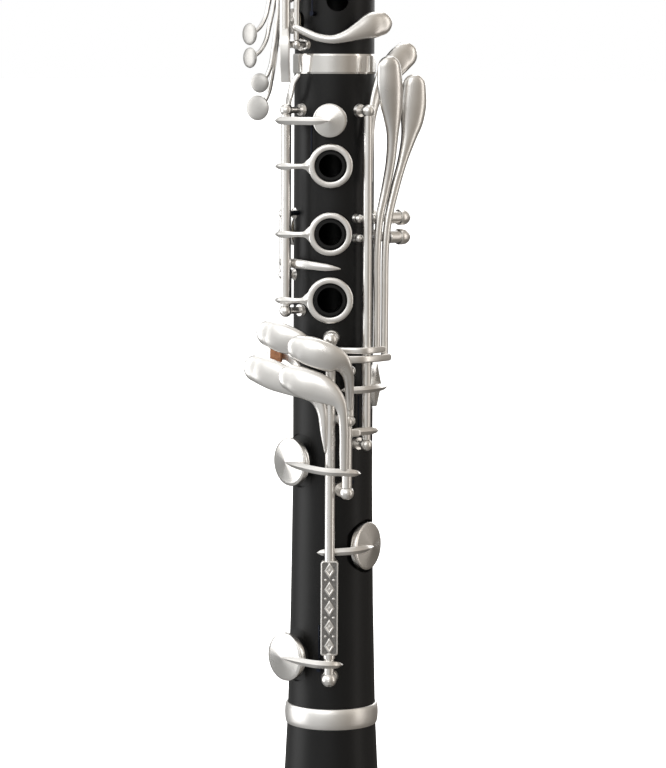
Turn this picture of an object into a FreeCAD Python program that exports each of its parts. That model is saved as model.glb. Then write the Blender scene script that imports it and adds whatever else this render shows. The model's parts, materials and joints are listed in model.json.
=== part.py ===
import FreeCAD, Part
import math
import os

# Boehm-system B flat clarinet with 17 keys and 6 rings, in millimetres.
# +Z runs up the bore, from the bell's mouth at z = 0 to the mouthpiece's tip.
# The open tone holes face -Y, the thumb rest faces +Y.
# Angles round the body are in degrees from the front (-Y), growing towards +X.

Vector = FreeCAD.Vector
nodes = {}

# Lengths of the stacked body pieces
BELL_TOP = 107.0
LOWER_TOP = BELL_TOP + 221.0
UPPER_TOP = LOWER_TOP + 195.0
BARREL_TOP = UPPER_TOP + 65.0
TIP = BARREL_TOP + 74.0

# Radii of the body
BORE = 7.35
LOWER_RADIUS = 13.55
LOWER_FOOT_RADIUS = 14.95
UPPER_RADIUS = 13.4
BELL_MOUTH_RADIUS = 39.5
TENON_RADIUS = 10.6
TENON_LENGTH = 16.0
LOWER_TENON_RADIUS = 11.4
LOWER_TENON_LENGTH = 20.0
CORK_THICKNESS = 0.6
SOCKET_PLAY = 0.05

# Key work
ROD = 0.75
THIN_ROD = 0.5
RUNNING_FIT = 0.05
TUBE = 1.7
SLIM_TUBE = 1.5
PAD_GAP = 0.05
PAD_TOP = 2.0
CUP_RIM = 2.65
CUP_WALL = 0.45
END_GAP = 0.1
STEM = 1.15
SHANK_DEPTH = 2.6

# How far each key swings from rest to its stop, in degrees about its hinge
RING_SWING = 4.2
E_B_SWING = 10.5
F_C_SWING = 6.7
UPPER_RING_SWING = 4.0


def framed(angle, side, out, z):
    """A point `out` from the bore along the direction `angle`, and `side` across it."""
    turn = math.radians(angle)
    x = out * math.sin(turn) + side * math.cos(turn)
    y = side * math.sin(turn) - out * math.cos(turn)
    return Vector(x, y, z)


def direction(angle):
    return framed(angle, 0, 1, 0)


def revolved(profile):
    """A solid of revolution about Z from (radius, height) corners."""
    corners = [Vector(radius, 0, z) for radius, z in profile]
    face = Part.Face(Part.makePolygon(corners + corners[:1]))
    return face.revolve(Vector(0, 0, 0), Vector(0, 0, 1), 360)


def cylinder(radius, low, high, centre=Vector(0, 0, 0)):
    return Part.makeCylinder(radius, high - low, Vector(centre.x, centre.y, low))


def ring(outer, inner, low, high):
    return cylinder(outer, low, high).cut(cylinder(inner, low, high))


def stand(shape, angle, z, side=0.0):
    """Turn a shape modelled along +Z so that it stands out of the body."""
    across = framed(angle, 1, 0, 0)
    spin = FreeCAD.Rotation(across, Vector(0, 0, 1), direction(angle))
    turned = shape.copy()
    turned.Placement = FreeCAD.Placement(across * side + Vector(0, 0, z), spin)
    return turned


def swung(shape, hinge, degrees):
    """A copy turned about the upright line through `hinge`."""
    turned = shape.copy()
    turned.rotate(hinge, Vector(0, 0, 1), degrees)
    return turned


def joined(shapes):
    """One solid from shapes that all touch."""
    whole = shapes[0].multiFuse(shapes[1:])
    if len(whole.Solids) != 1:
        raise ValueError("these shapes don't all touch")
    return whole.Solids[0]


def outline(centre, wide, deep, half_width, half_depth, corner):
    """A closed smooth outline: corner 2 is an oval, larger is squarer."""
    count = 12
    grow = 6 / (4 + 2 * math.cos(2 * math.pi / count))
    poles = []
    for step in range(count):
        turn = 2 * math.pi * step / count
        u = math.copysign(abs(math.cos(turn)) ** (2 / corner), math.cos(turn))
        v = math.copysign(abs(math.sin(turn)) ** (2 / corner), math.sin(turn))
        poles.append(centre + wide * (grow * half_width * u) + deep * (grow * half_depth * v))
    curve = Part.BSplineCurve()
    curve.buildFromPolesMultsKnots(poles, [1] * (count + 1), list(range(count + 1)), True, 3)
    return Part.Wire([curve.toShape()])


def limb(stations, angle=0.0, up=None, corner=2.4, round_start=True, round_end=True):
    """A smooth limb through stations (side, out, z, half width, half depth).

    The stations lie in the frame of `angle`. `up` is the direction that the limb's
    flat side faces: an angle, a pair of angles from start to end, or None for
    straight away from the bore.
    """
    centres = [framed(angle, side, out, z) for side, out, z, _, _ in stations]
    halves = [(width, depth) for _, _, _, width, depth in stations]
    outlines = []
    for place, centre in enumerate(centres):
        before = centres[max(place - 1, 0)]
        after = centres[min(place + 1, len(centres) - 1)]
        along = (after - before).normalize()
        if up is None:
            facing = Vector(centre.x, centre.y, 0).normalize()
        elif isinstance(up, tuple):
            share = place / (len(centres) - 1)
            facing = direction(up[0] * (1 - share) + up[1] * share)
        else:
            facing = direction(up)
        wide = along.cross(facing).normalize()
        deep = wide.cross(along)
        width, depth = halves[place]
        outlines.append(outline(centre, wide, deep, width, depth, corner))
        if place == 0 and round_start:
            cap = [(-reach, shrink) for reach, shrink in ((0.97, 0.25), (0.8, 0.6), (0.45, 0.89))]
            outlines[:0] = caps(centre, along, wide, deep, width, depth, corner, cap)
        if place == len(centres) - 1 and round_end:
            cap = [(0.45, 0.89), (0.8, 0.6), (0.97, 0.25)]
            outlines += caps(centre, along, wide, deep, width, depth, corner, cap)
    solid = Part.makeLoft(outlines, True, False, False, 3)
    if solid.Volume < 0:
        solid.reverse()
    return solid


def caps(centre, along, wide, deep, width, depth, corner, steps):
    """The outlines that round off a limb's end."""
    return [
        outline(centre + along * (reach * width), wide, deep, width * shrink, depth * shrink, corner)
        for reach, shrink in steps
    ]


def cup_and_pad(seat, radius, cone=1.6):
    """A conical pad cup and its pad, along +Z, closed on a tone hole whose rim is at `seat`."""
    inner = radius - CUP_WALL
    profile = [
        (0, seat + PAD_TOP),
        (inner, seat + PAD_TOP),
        (inner, seat + CUP_WALL),
        (radius, seat + CUP_WALL),
        (radius, seat + CUP_RIM - 0.2),
        (radius - 0.2, seat + CUP_RIM),
        (0, seat + CUP_RIM + cone),
    ]
    pad = cylinder(inner, seat + PAD_GAP, seat + PAD_TOP)
    rim = [edge for edge in pad.Edges if abs(edge.BoundBox.ZMax - seat - PAD_GAP) < 1e-6]
    return revolved(profile), pad.makeFillet(0.3, [e for e in rim if e.BoundBox.ZLength < 1e-6])


def bored(key, hinge, low, high, rod=ROD):
    """Bore a key's hinge tube for its rod, with a running fit."""
    return key.cut(cylinder(rod + RUNNING_FIT, low - 1, high + 1, hinge))


# ---------------------------------------------------------------- posts and rods

posts = {"lower": [], "upper": []}
shanks = {"lower": [], "upper": []}
bearings = []
rods = []


def surface(z):
    """The body's radius at a height."""
    if z > LOWER_TOP:
        return UPPER_RADIUS
    if z > 184:
        return LOWER_RADIUS
    return LOWER_FOOT_RADIUS - (LOWER_FOOT_RADIUS - LOWER_RADIUS) * (z - BELL_TOP) / 77


def post(part, angle, hinge_out, z, ball=2.1, side=0.0, stem=STEM):
    """A turned post with a base flange, a stem and a ball round the hinge rod."""
    skin = math.sqrt(surface(z) ** 2 - side ** 2)
    flange = Part.makeCone(ball + 0.5, ball - 0.1, 1.6, Vector(0, 0, skin - 0.8))
    shapes = [
        flange,
        cylinder(stem, skin - 0.8, hinge_out),
        Part.makeSphere(ball, Vector(0, 0, hinge_out)),
    ]
    posts[part].append(stand(joined(shapes), angle, z, side))
    shanks[part].append(stand(cylinder(stem, skin - SHANK_DEPTH, skin + 0.2), angle, z, side))


def upright_hinge(hinge, low, high, tube, rod=ROD):
    """A rod between two posts at `low` and `high`, and the room its key's tube needs."""
    rods.append(cylinder(rod, low - 1.5, high + 1.5, hinge))
    bearings.append(cylinder(tube + END_GAP, low + 1.5, high - 1.5, hinge))


def tube_between(hinge, low, high, tube):
    """A hinge tube that fits between the posts at `low` and `high`."""
    return cylinder(tube, low + 1.5 + END_GAP, high - 1.5 - END_GAP, hinge)


# ---------------------------------------------------------------- lower joint keys

RING_HINGE = framed(-53.5, 0, 19.9, 0)
SLIVER_HINGE = framed(-75, 0, 17.4, 0)
CENTRE_ANGLE = -2.5
E_B_HINGE = framed(CENTRE_ANGLE, 0, 19.6, 0)
F_SHARP_HINGE = framed(CENTRE_ANGLE, 0, 15.8, 0)
F_C_HINGE = framed(12.1, 0, 22.8, 0)
A_FLAT_HINGE = framed(18.1, 0, 18.0, 0)
LEFT_F_HINGE = framed(38.5, 0, 18.0, 0)

RING_LOW, RING_HIGH = 242.2, 309.3
SLIVER_LOW, SLIVER_HIGH = 253.9, 274.5
CENTRE_LOW, CENTRE_HIGH = 118.25, 233.4
F_SHARP_LOW = 158.0
F_C_LOW, F_C_HIGH = 182.1, 206.0
A_FLAT_LOW, A_FLAT_HIGH = 205.7, 222.5
LEFT_F_LOW, LEFT_F_HIGH = 197.4, 309.2

# Tone holes of the lower joint: angle, height, hole radius
RING_X = -1.15
RING_HOLES = [(290.9, 7.4, 5.35), (268.2, 7.3, 5.35), (246.1, 7.8, 5.75)]
RING_PLANE = 15.7
RING_THICK = 1.2
CHIMNEY_TOP = 15.3
TOP_PAD = (-3.9, 306.0, 14.3, 5.7)
SLIVER_PAD = (-112.0, 268.5, 12.9, 5.2)
A_FLAT_PAD = (85.0, 216.5, 12.35, 7.5)
F_C_PAD = (-55.8, 191.0, 13.4, 8.2)
F_SHARP_PAD = (57.5, 162.0, 12.05, 8.2)
E_B_PAD = (-56.2, 124.5, 14.8, 8.2)


def finger_ring(z, outer, inner):
    """A finger ring lying over a raised tone hole at the front, with a rounded top edge."""
    band = ring(outer, inner, RING_PLANE, RING_PLANE + RING_THICK)
    edges = [e for e in band.Edges if abs(e.BoundBox.ZMin - RING_PLANE - RING_THICK) < 1e-6]
    return stand(band.makeFillet(0.45, edges), 0, z, RING_X)


def finger_openings(holes):
    """The clear space inside each finger ring."""
    low, high = RING_PLANE - 1, RING_PLANE + 2
    return Part.makeCompound([
        stand(cylinder(inner, low, high), 0, z, RING_X) for z, _, inner in holes
    ])


def lower_ring_key():
    """Three finger rings and a pad cup on one hinge tube, with the bridge plate at its top."""
    shapes = [tube_between(RING_HINGE, RING_LOW, RING_HIGH, TUBE)]
    for z, outer, inner in RING_HOLES:
        shapes.append(finger_ring(z, outer, inner))
        left = RING_X - outer
        shapes.append(limb([
            (-19.3, 10.9, z - 0.3, 0.2, 0.2),
            (-18.3, 12.6, z - 0.3, 1.0, 0.5),
            (-16.2, 13.8, z - 0.3, 1.25, 0.6),
            (-12.8, 15.3, z - 0.2, 0.85, 0.6),
            (left - 0.7, 16.3, z - 0.1, 1.3, 0.55),
            (left + 0.5, 16.3, z, 2.2, 0.45),
        ], round_start=False))
    angle, z, seat, radius = TOP_PAD
    cup, pad = cup_and_pad(seat, radius, 1.3)
    cup = swung(stand(cup, angle, z), RING_HINGE, -RING_SWING)
    pad = swung(stand(pad, angle, z), RING_HINGE, -RING_SWING)
    arm = limb([
        (-19.3, 10.9, z - 0.2, 0.2, 0.2),
        (-18.3, 12.7, z - 0.2, 1.1, 0.6),
        (-15.8, 14.7, z - 0.2, 1.3, 0.75),
        (-11.0, 17.3, z - 0.2, 1.3, 0.75),
        (-6.0, 18.75, z - 0.2, 1.3, 0.8),
        (-1.6, 19.2, z, 0.3, 0.3),
    ], round_start=False, round_end=False)
    bridge = limb([
        (-0.6, 19.0, 303.2, 1.1, 0.6),
        (-2.5, 17.2, 306.0, 1.1, 0.6),
        (-2.9, 16.7, 309.3, 1.0, 0.6),
        (-2.3, 17.3, 312.2, 1.3, 0.5),
        (-0.3, 17.9, 315.0, 1.4, 0.5),
        (0.6, 17.7, 318.0, 1.2, 0.5),
        (2.4, 17.0, 320.6, 0.9, 0.5),
    ], angle=-53.5, up=-53.5, corner=3)
    key = joined(shapes + [cup, arm, bridge]).cut(pad).cut(finger_openings(RING_HOLES))
    nodes["lower_ring_key"] = bored(key, RING_HINGE, RING_LOW, RING_HIGH)
    nodes["lower_ring_pad"] = pad


def b_natural_sliver_key():
    """A slim leaf under the ring key's tube, with its pad on the left side."""
    angle, z, seat, radius = SLIVER_PAD
    cup, pad = cup_and_pad(seat, radius, 1.2)
    cup = stand(cup, angle, z)
    pad = stand(pad, angle, z)
    leaf = limb([
        (-17.6, 5.6, 258.2, 1.3, 0.65),
        (-15.6, 8.6, 258.2, 1.55, 0.65),
        (-11.9, 12.3, 258.0, 1.6, 0.65),
        (-7.0, 15.3, 257.6, 1.35, 0.6),
        (-2.0, 16.3, 257.1, 1.1, 0.55),
        (2.0, 16.4, 256.7, 0.35, 0.35),
    ], round_start=False)
    arm = limb([
        (-17.9, 3.8, 268.3, 1.2, 0.7),
        (-17.8, 0.5, 268.5, 1.2, 0.7),
        (-16.6, -4.5, 268.5, 0.9, 0.7),
        (-15.9, -6.3, 268.5, 0.3, 0.3),
    ], round_end=False)
    tube = tube_between(SLIVER_HINGE, SLIVER_LOW, SLIVER_HIGH, SLIM_TUBE)
    key = joined([tube, leaf, arm, cup]).cut(pad)
    nodes["b_natural_sliver_key"] = bored(key, SLIVER_HINGE, SLIVER_LOW, SLIVER_HIGH)
    nodes["b_natural_sliver_pad"] = pad


def a_flat_e_flat_key():
    """The upper right of the four little-finger touches, with its pad on the right side."""
    angle, z, seat, radius = A_FLAT_PAD
    cup, pad = cup_and_pad(seat, radius, 1.5)
    cup = stand(cup, angle, z)
    pad = stand(pad, angle, z)
    touch = limb([
        (-12.2, 22.3, 231.0, 3.2, 1.0),
        (-8.8, 24.0, 230.2, 4.4, 1.3),
        (-4.7, 24.9, 228.9, 4.9, 1.4),
        (-0.7, 25.0, 227.5, 4.5, 1.3),
        (2.3, 24.4, 226.0, 3.7, 1.1),
        (4.3, 23.0, 223.4, 2.4, 0.8),
        (5.2, 21.0, 219.6, 1.85, 0.65),
        (5.5, 19.4, 215.0, 1.7, 0.65),
        (5.5, 18.7, 210.5, 1.3, 0.7),
    ], up=-12)
    arm = limb([
        (4.4, 18.9, 216.3, 0.6, 0.5),
        (7.6, 18.9, 216.3, 1.2, 0.75),
        (11.6, 17.1, 216.4, 1.2, 0.75),
        (15.6, 12.2, 216.5, 1.2, 0.75),
        (17.6, 6.2, 216.5, 1.1, 0.75),
        (17.3, 3.6, 216.5, 0.8, 0.6),
        (16.5, 1.4, 216.5, 0.25, 0.3),
    ], round_end=False)
    tube = tube_between(A_FLAT_HINGE, A_FLAT_LOW, A_FLAT_HIGH, SLIM_TUBE)
    key = joined([tube, touch, arm, cup]).cut(pad)
    nodes["a_flat_e_flat_key"] = bored(key, A_FLAT_HINGE, A_FLAT_LOW, A_FLAT_HIGH)
    nodes["a_flat_e_flat_pad"] = pad


def f_sharp_c_sharp_key():
    """The upper left touch, on a tube under the centre tube, with its pad on the right."""
    angle, z, seat, radius = F_SHARP_PAD
    cup, pad = cup_and_pad(seat, radius)
    cup = stand(cup, angle, z)
    pad = stand(pad, angle, z)
    touch = limb([
        (-22.6, 12.2, 235.0, 3.6, 1.0),
        (-20.0, 13.7, 234.1, 4.5, 1.2),
        (-16.3, 15.2, 233.1, 4.85, 1.25),
        (-12.4, 15.9, 232.0, 4.2, 1.15),
        (-8.8, 16.2, 230.8, 3.1, 1.0),
        (-5.0, 16.4, 229.8, 1.9, 0.8),
        (-1.0, 16.2, 229.4, 1.2, 0.7),
    ], up=-20)
    left_hand_arm = limb([
        (-0.7, 16.3, 229.4, 1.0, 0.75),
        (4.0, 17.2, 229.4, 1.15, 0.75),
        (9.5, 17.7, 229.4, 1.15, 0.75),
        (13.2, 15.6, 229.4, 1.1, 0.7),
        (16.6, 11.6, 229.4, 1.1, 0.7),
    ])
    cup_arm = limb([
        (-4.4, 16.2, 160.9, 0.3, 0.3),
        (-2.6, 16.7, 161.0, 1.1, 0.6),
        (2.0, 17.0, 161.2, 1.25, 0.75),
        (7.0, 15.7, 161.5, 1.25, 0.75),
        (11.4, 12.3, 161.8, 1.1, 0.8),
        (13.8, 8.8, 162.0, 0.25, 0.3),
    ], round_start=False, round_end=False)
    tube = tube_between(F_SHARP_HINGE, F_SHARP_LOW, CENTRE_HIGH, SLIM_TUBE)
    key = joined([tube, touch, left_hand_arm, cup_arm, cup]).cut(pad)
    nodes["f_sharp_c_sharp_key"] = bored(key, F_SHARP_HINGE, F_SHARP_LOW, CENTRE_HIGH)
    nodes["f_sharp_c_sharp_pad"] = pad


def f_c_key():
    """The lower right touch, its cup on the left, and the crow's foot between the left touches."""
    angle, z, seat, radius = F_C_PAD
    cup, pad = cup_and_pad(seat, radius)
    cup = swung(stand(cup, angle, z), F_C_HINGE, F_C_SWING)
    pad = swung(stand(pad, angle, z), F_C_HINGE, F_C_SWING)
    touch = limb([
        (-15.0, 21.6, 221.2, 3.4, 1.0),
        (-12.2, 23.0, 220.0, 4.5, 1.25),
        (-8.3, 24.3, 218.8, 5.0, 1.4),
        (-4.3, 25.0, 217.4, 4.6, 1.3),
        (-0.7, 25.5, 215.2, 3.8, 1.2),
        (2.0, 25.8, 212.3, 2.8, 1.0),
        (3.5, 25.8, 208.3, 1.95, 0.8),
        (3.9, 25.2, 202.6, 1.7, 0.75),
        (3.9, 24.4, 196.0, 1.5, 0.7),
        (3.8, 24.0, 190.4, 1.3, 0.6),
    ], up=-4)
    cup_arm = limb([
        (8.9, 21.7, 188.6, 0.25, 0.3),
        (7.3, 23.2, 188.9, 1.15, 0.6),
        (3.5, 24.2, 189.2, 1.25, 0.8),
        (-2.0, 23.9, 189.4, 1.25, 0.8),
        (-7.5, 21.4, 190.0, 1.25, 0.8),
        (-12.5, 16.9, 190.7, 1.15, 0.8),
        (-15.9, 12.5, 191.0, 0.25, 0.3),
    ], round_start=False, round_end=False)
    left_hand_tab = limb([
        (4.9, 22.0, 202.2, 1.2, 0.7),
        (7.0, 21.4, 202.2, 1.3, 0.6),
        (8.2, 20.9, 202.2, 1.3, 0.55),
    ], up=12, corner=3)
    crow_foot = limb([
        (-10.6, 22.6, 221.6, 1.5, 0.8),
        (-12.2, 19.6, 224.8, 1.2, 0.8),
        (-14.2, 14.0, 225.9, 1.1, 0.8),
        (-16.2, 8.6, 226.7, 1.4, 0.8),
        (-20.4, 4.9, 227.1, 2.2, 0.8),
    ], up=-60)
    tube = tube_between(F_C_HINGE, F_C_LOW, F_C_HIGH, TUBE)
    key = joined([tube, touch, cup_arm, left_hand_tab, crow_foot, cup]).cut(pad)
    cork = limb([
        (-17.4, 9.3, 227.1, 2.4, 0.5),
        (-19.3, 7.4, 227.1, 2.6, 0.5),
        (-21.0, 6.1, 227.1, 2.4, 0.5),
    ], up=-50, corner=4, round_start=False, round_end=False)
    nodes["f_c_key"] = bored(key, F_C_HINGE, F_C_LOW, F_C_HIGH).cut(cork)
    nodes["f_c_pad"] = pad
    nodes["crow_foot_cork"] = cork


def ornament_plate():
    """The flat section of the long centre tube: a raised border round five low lozenges."""
    width, depth, low, high = 5.7, 3.4, 126.8, 158.8
    border, sunk = 0.55, 0.25
    front = E_B_HINGE.y - depth / 2 - 0.1
    left = E_B_HINGE.x - width / 2
    plate = Part.makeBox(width, depth, high - low, Vector(left, front, low))
    upright = [e for e in plate.Edges if e.BoundBox.YLength > depth - 0.1]
    plate = plate.makeFillet(1.1, upright)
    inner_width = width - 2 * border
    inner_high = high - low - 2 * border
    field = Part.makeBox(inner_width, sunk, inner_high, Vector(left + border, front, low + border))
    corners = [e for e in field.Edges if e.BoundBox.YLength > sunk - 0.01]
    plate = plate.cut(field.makeFillet(0.7, corners))
    for place in range(5):
        middle = low + (high - low) * (place + 0.5) / 5
        across, tall = 1.5, 2.6
        lozenge = Part.Face(Part.makePolygon([
            Vector(E_B_HINGE.x + across, front + sunk + 0.1, middle),
            Vector(E_B_HINGE.x, front + sunk + 0.1, middle + tall),
            Vector(E_B_HINGE.x - across, front + sunk + 0.1, middle),
            Vector(E_B_HINGE.x, front + sunk + 0.1, middle - tall),
            Vector(E_B_HINGE.x + across, front + sunk + 0.1, middle),
        ]))
        plate = plate.fuse(lozenge.extrude(Vector(0, -0.25, 0)))
    return plate


def e_b_key():
    """The long centre key: lower left touch, decorated section, and the lowest cup."""
    angle, z, seat, radius = E_B_PAD
    cup, pad = cup_and_pad(seat, radius)
    cup = swung(stand(cup, angle, z), E_B_HINGE, E_B_SWING)
    pad = swung(stand(pad, angle, z), E_B_HINGE, E_B_SWING)
    touch = limb([
        (-26.2, 10.8, 222.8, 3.7, 1.0),
        (-23.4, 12.4, 221.9, 4.7, 1.2),
        (-19.4, 14.3, 220.5, 4.9, 1.25),
        (-14.6, 16.4, 218.6, 4.4, 1.2),
        (-9.9, 18.6, 216.0, 3.8, 1.1),
        (-6.4, 19.8, 212.6, 2.8, 1.0),
        (-4.3, 20.4, 208.0, 1.9, 0.9),
        (-3.3, 20.6, 201.5, 1.3, 0.8),
        (-2.4, 20.3, 195.6, 0.5, 0.5),
    ], up=-20, round_end=False)
    left_hand_arm = limb([
        (-0.8, 19.9, 226.6, 1.0, 0.8),
        (4.0, 19.6, 226.6, 1.2, 0.8),
        (9.5, 18.6, 226.6, 1.2, 0.8),
        (14.5, 14.8, 226.6, 1.2, 0.75),
        (18.6, 9.9, 226.6, 1.2, 0.7),
    ])
    cup_arm = limb([
        (3.4, 18.9, 123.2, 0.25, 0.3),
        (1.8, 20.6, 123.4, 1.1, 0.6),
        (-1.5, 21.6, 123.6, 1.3, 0.8),
        (-6.0, 20.9, 123.8, 1.3, 0.8),
        (-11.5, 17.7, 124.2, 1.15, 0.8),
        (-17.3, 13.4, 124.5, 0.25, 0.3),
    ], round_start=False, round_end=False)
    neck = cylinder(2.0, 125.4, 127.2, E_B_HINGE)
    tube = tube_between(E_B_HINGE, CENTRE_LOW, CENTRE_HIGH, TUBE)
    key = joined([tube, ornament_plate(), neck, touch, left_hand_arm, cup_arm, cup]).cut(pad)
    nodes["e_b_key"] = bored(key, E_B_HINGE, CENTRE_LOW, CENTRE_HIGH)
    nodes["e_b_pad"] = pad


# ---------------------------------------------------------------- left-hand levers

# The two long levers rock on rods that lie across the body. In the frame of
# LEVER_ANGLE, `side` runs along the rods and `out` away from the body.
LEVER_ANGLE = 40.0
LEVER_TOUCH_ANGLE = 20.0
PIVOT_OUT = 15.05
PIVOT_FRONT = -1.67
PIVOT_REAR = 17.8
UPPER_PIVOT, LOWER_PIVOT = 273.3, 266.7
BAR_OUT = 17.35
BAR_DEPTH = 0.85


def across_cylinder(angle, out, z, start, end, radius):
    """A cylinder that lies across the body, along the side direction of `angle`."""
    base = framed(angle, start, out, z)
    return Part.makeCylinder(radius, end - start, base, framed(angle, 1, 0, 0))


def rocking_hub(angle, out, z, side, width, bar_out, tube=1.4):
    """A short hinge tube under a lever's bar, and the lug that joins them."""
    hub = across_cylinder(angle, out, z, side - width / 2, side + width / 2, tube)
    lug = Part.makeBox(width * 0.7, 2.0, bar_out - out, Vector(-width * 0.35, -1.0, out))
    return hub.fuse(stand(lug, angle, z, side))


def across_bore(key, angle, out, z, side, rod=ROD):
    return key.cut(across_cylinder(angle, out, z, side - 12, side + 12, rod + RUNNING_FIT))


def left_levers():
    """Two long rocking levers and the third lever on its own upright hinge."""
    f_sharp_bar = limb([
        (4.6, 17.35, 229.3, 1.25, BAR_DEPTH),
        (4.55, 17.35, 246.0, 1.25, BAR_DEPTH),
        (4.5, 17.35, 262.0, 1.25, BAR_DEPTH),
        (5.1, 17.5, 273.0, 1.35, 0.9),
        (6.7, 18.1, 283.0, 1.7, 0.9),
        (8.3, 19.3, 293.0, 1.7, 1.0),
        (8.2, 20.3, 302.0, 2.6, 1.2),
        (6.8, 21.1, 309.5, 3.8, 1.3),
        (5.2, 21.6, 316.0, 4.3, 1.4),
        (4.6, 21.8, 321.5, 3.6, 1.2),
    ], angle=LEVER_ANGLE, up=(LEVER_ANGLE, LEVER_TOUCH_ANGLE))
    hub = rocking_hub(LEVER_ANGLE, PIVOT_OUT, UPPER_PIVOT, 5.2, 3.0, BAR_OUT)
    key = joined([f_sharp_bar, hub])
    nodes["left_f_sharp_lever"] = across_bore(key, LEVER_ANGLE, PIVOT_OUT, UPPER_PIVOT, 6)

    e_b_bar = limb([
        (7.95, 17.35, 226.4, 1.25, BAR_DEPTH),
        (8.0, 17.35, 245.0, 1.25, BAR_DEPTH),
        (8.2, 17.35, 262.0, 1.25, BAR_DEPTH),
        (9.6, 17.7, 273.0, 1.45, 0.9),
        (12.6, 18.4, 283.0, 1.7, 0.95),
        (16.0, 19.2, 293.0, 2.3, 1.1),
        (18.0, 19.9, 301.5, 3.6, 1.3),
        (18.9, 20.2, 308.0, 4.2, 1.4),
        (19.0, 20.4, 315.0, 3.6, 1.2),
    ], angle=LEVER_ANGLE, up=(LEVER_ANGLE, LEVER_TOUCH_ANGLE))
    hub = rocking_hub(LEVER_ANGLE, PIVOT_OUT, LOWER_PIVOT, 8.2, 3.0, BAR_OUT)
    key = joined([e_b_bar, hub])
    nodes["left_e_b_lever"] = across_bore(key, LEVER_ANGLE, PIVOT_OUT, LOWER_PIVOT, 8)

    touch = limb([
        (1.3, 17.3, 286.0, 0.9, 0.6),
        (1.7, 16.9, 298.0, 1.1, 0.75),
        (3.4, 15.5, 307.0, 1.5, 0.8),
        (6.0, 15.0, 314.5, 2.1, 0.8),
        (9.8, 15.7, 320.5, 3.3, 1.1),
        (14.2, 17.3, 326.0, 4.1, 1.3),
        (17.4, 17.9, 329.2, 3.4, 1.1),
    ], angle=LEVER_ANGLE, up=(LEVER_ANGLE, LEVER_TOUCH_ANGLE))
    arm = limb([
        (14.6, 13.4, 202.2, 0.9, 0.6),
        (12.6, 15.4, 202.2, 1.3, 0.7),
        (10.4, 16.9, 202.2, 1.3, 0.7),
        (8.4, 18.2, 202.2, 1.3, 0.65),
        (7.2, 19.2, 202.2, 1.2, 0.55),
    ])
    tube = tube_between(LEFT_F_HINGE, LEFT_F_LOW, LEFT_F_HIGH, 1.55)
    key = joined([tube, touch, arm])
    nodes["left_f_c_lever"] = bored(key, LEFT_F_HINGE, LEFT_F_LOW, LEFT_F_HIGH)


def lower_hardware():
    """Posts and rods of the lower joint."""
    for z in (RING_LOW, RING_HIGH):
        post("lower", -53.5, 19.9, z)
    for z in (SLIVER_LOW, SLIVER_HIGH):
        post("lower", -75, 17.4, z, ball=1.8)
    post("lower", CENTRE_ANGLE, 19.6, CENTRE_HIGH, ball=2.5, stem=1.9)
    post("lower", CENTRE_ANGLE, 19.6, CENTRE_LOW, ball=2.6, stem=1.4)
    post("lower", CENTRE_ANGLE, 15.8, F_SHARP_LOW, ball=1.7)
    post("lower", 12.1, 22.8, F_C_HIGH, ball=2.1)
    post("lower", 12.1, 22.8, F_C_LOW, ball=2.4)
    post("lower", 18.1, 18.0, A_FLAT_LOW, ball=2.0)
    post("lower", 18.1, 18.0, A_FLAT_HIGH, ball=2.0)
    post("lower", 38.5, 18.0, LEFT_F_LOW, ball=2.15)
    post("lower", 38.5, 18.0, LEFT_F_HIGH, ball=2.15)
    upright_hinge(RING_HINGE, RING_LOW, RING_HIGH, TUBE)
    upright_hinge(SLIVER_HINGE, SLIVER_LOW, SLIVER_HIGH, SLIM_TUBE)
    upright_hinge(E_B_HINGE, CENTRE_LOW, CENTRE_HIGH, TUBE)
    upright_hinge(F_SHARP_HINGE, F_SHARP_LOW, CENTRE_HIGH, SLIM_TUBE)
    upright_hinge(F_C_HINGE, F_C_LOW, F_C_HIGH, TUBE)
    upright_hinge(A_FLAT_HINGE, A_FLAT_LOW, A_FLAT_HIGH, SLIM_TUBE)
    upright_hinge(LEFT_F_HINGE, LEFT_F_LOW, LEFT_F_HIGH, 1.55)
    front = framed(LEVER_ANGLE, PIVOT_FRONT, PIVOT_OUT, 0)
    rear = framed(LEVER_ANGLE, PIVOT_REAR, PIVOT_OUT, 0)
    for z in (UPPER_PIVOT, LOWER_PIVOT):
        front_angle = math.degrees(math.atan2(front.x, -front.y))
        rear_angle = math.degrees(math.atan2(rear.x, -rear.y))
        post("lower", front_angle, math.hypot(front.x, front.y), z, ball=1.45, stem=1.0)
        post("lower", rear_angle, math.hypot(rear.x, rear.y), z, ball=2.35, stem=1.6)
        rods.append(
            across_cylinder(LEVER_ANGLE, PIVOT_OUT, z, PIVOT_FRONT - 0.9, PIVOT_REAR + 1.2, ROD)
        )


# ---------------------------------------------------------------- upper joint keys

UPPER_RING_HINGE = framed(-54.0, 0, 20.5, 0)
C_SHARP_HINGE = framed(-44.6, 0, 18.0, 0)
THUMB_HINGE = framed(-140.0, 0, 18.0, 0)
E_FLAT_HINGE = framed(-66.0, 0, 16.4, 0)
UPPER_RING_LOW, UPPER_RING_HIGH = 331.0, 410.0
C_SHARP_LOW, C_SHARP_HIGH = 331.0, 352.0
THUMB_LOW, THUMB_HIGH = 386.0, 418.0
E_FLAT_LOW, E_FLAT_HIGH = 346.5, 366.0
UPPER_RING_HOLES = [(374.0, 7.3, 5.35), (398.0, 7.0, 5.1)]
THIRD_HOLE = (4.0, 345.7, 3.7)
THUMB_Z = 398.0
UPPER_RING_PAD = (6.0, 386.0, 14.3, 4.2)
C_SHARP_PAD = (-72.0, 338.8, 13.0, 4.2)
E_FLAT_PAD = (-100.0, 350.6, 12.9, 4.2)
THUMB_PAD = (-176.0, 413.0, 14.3, 4.4)


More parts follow.
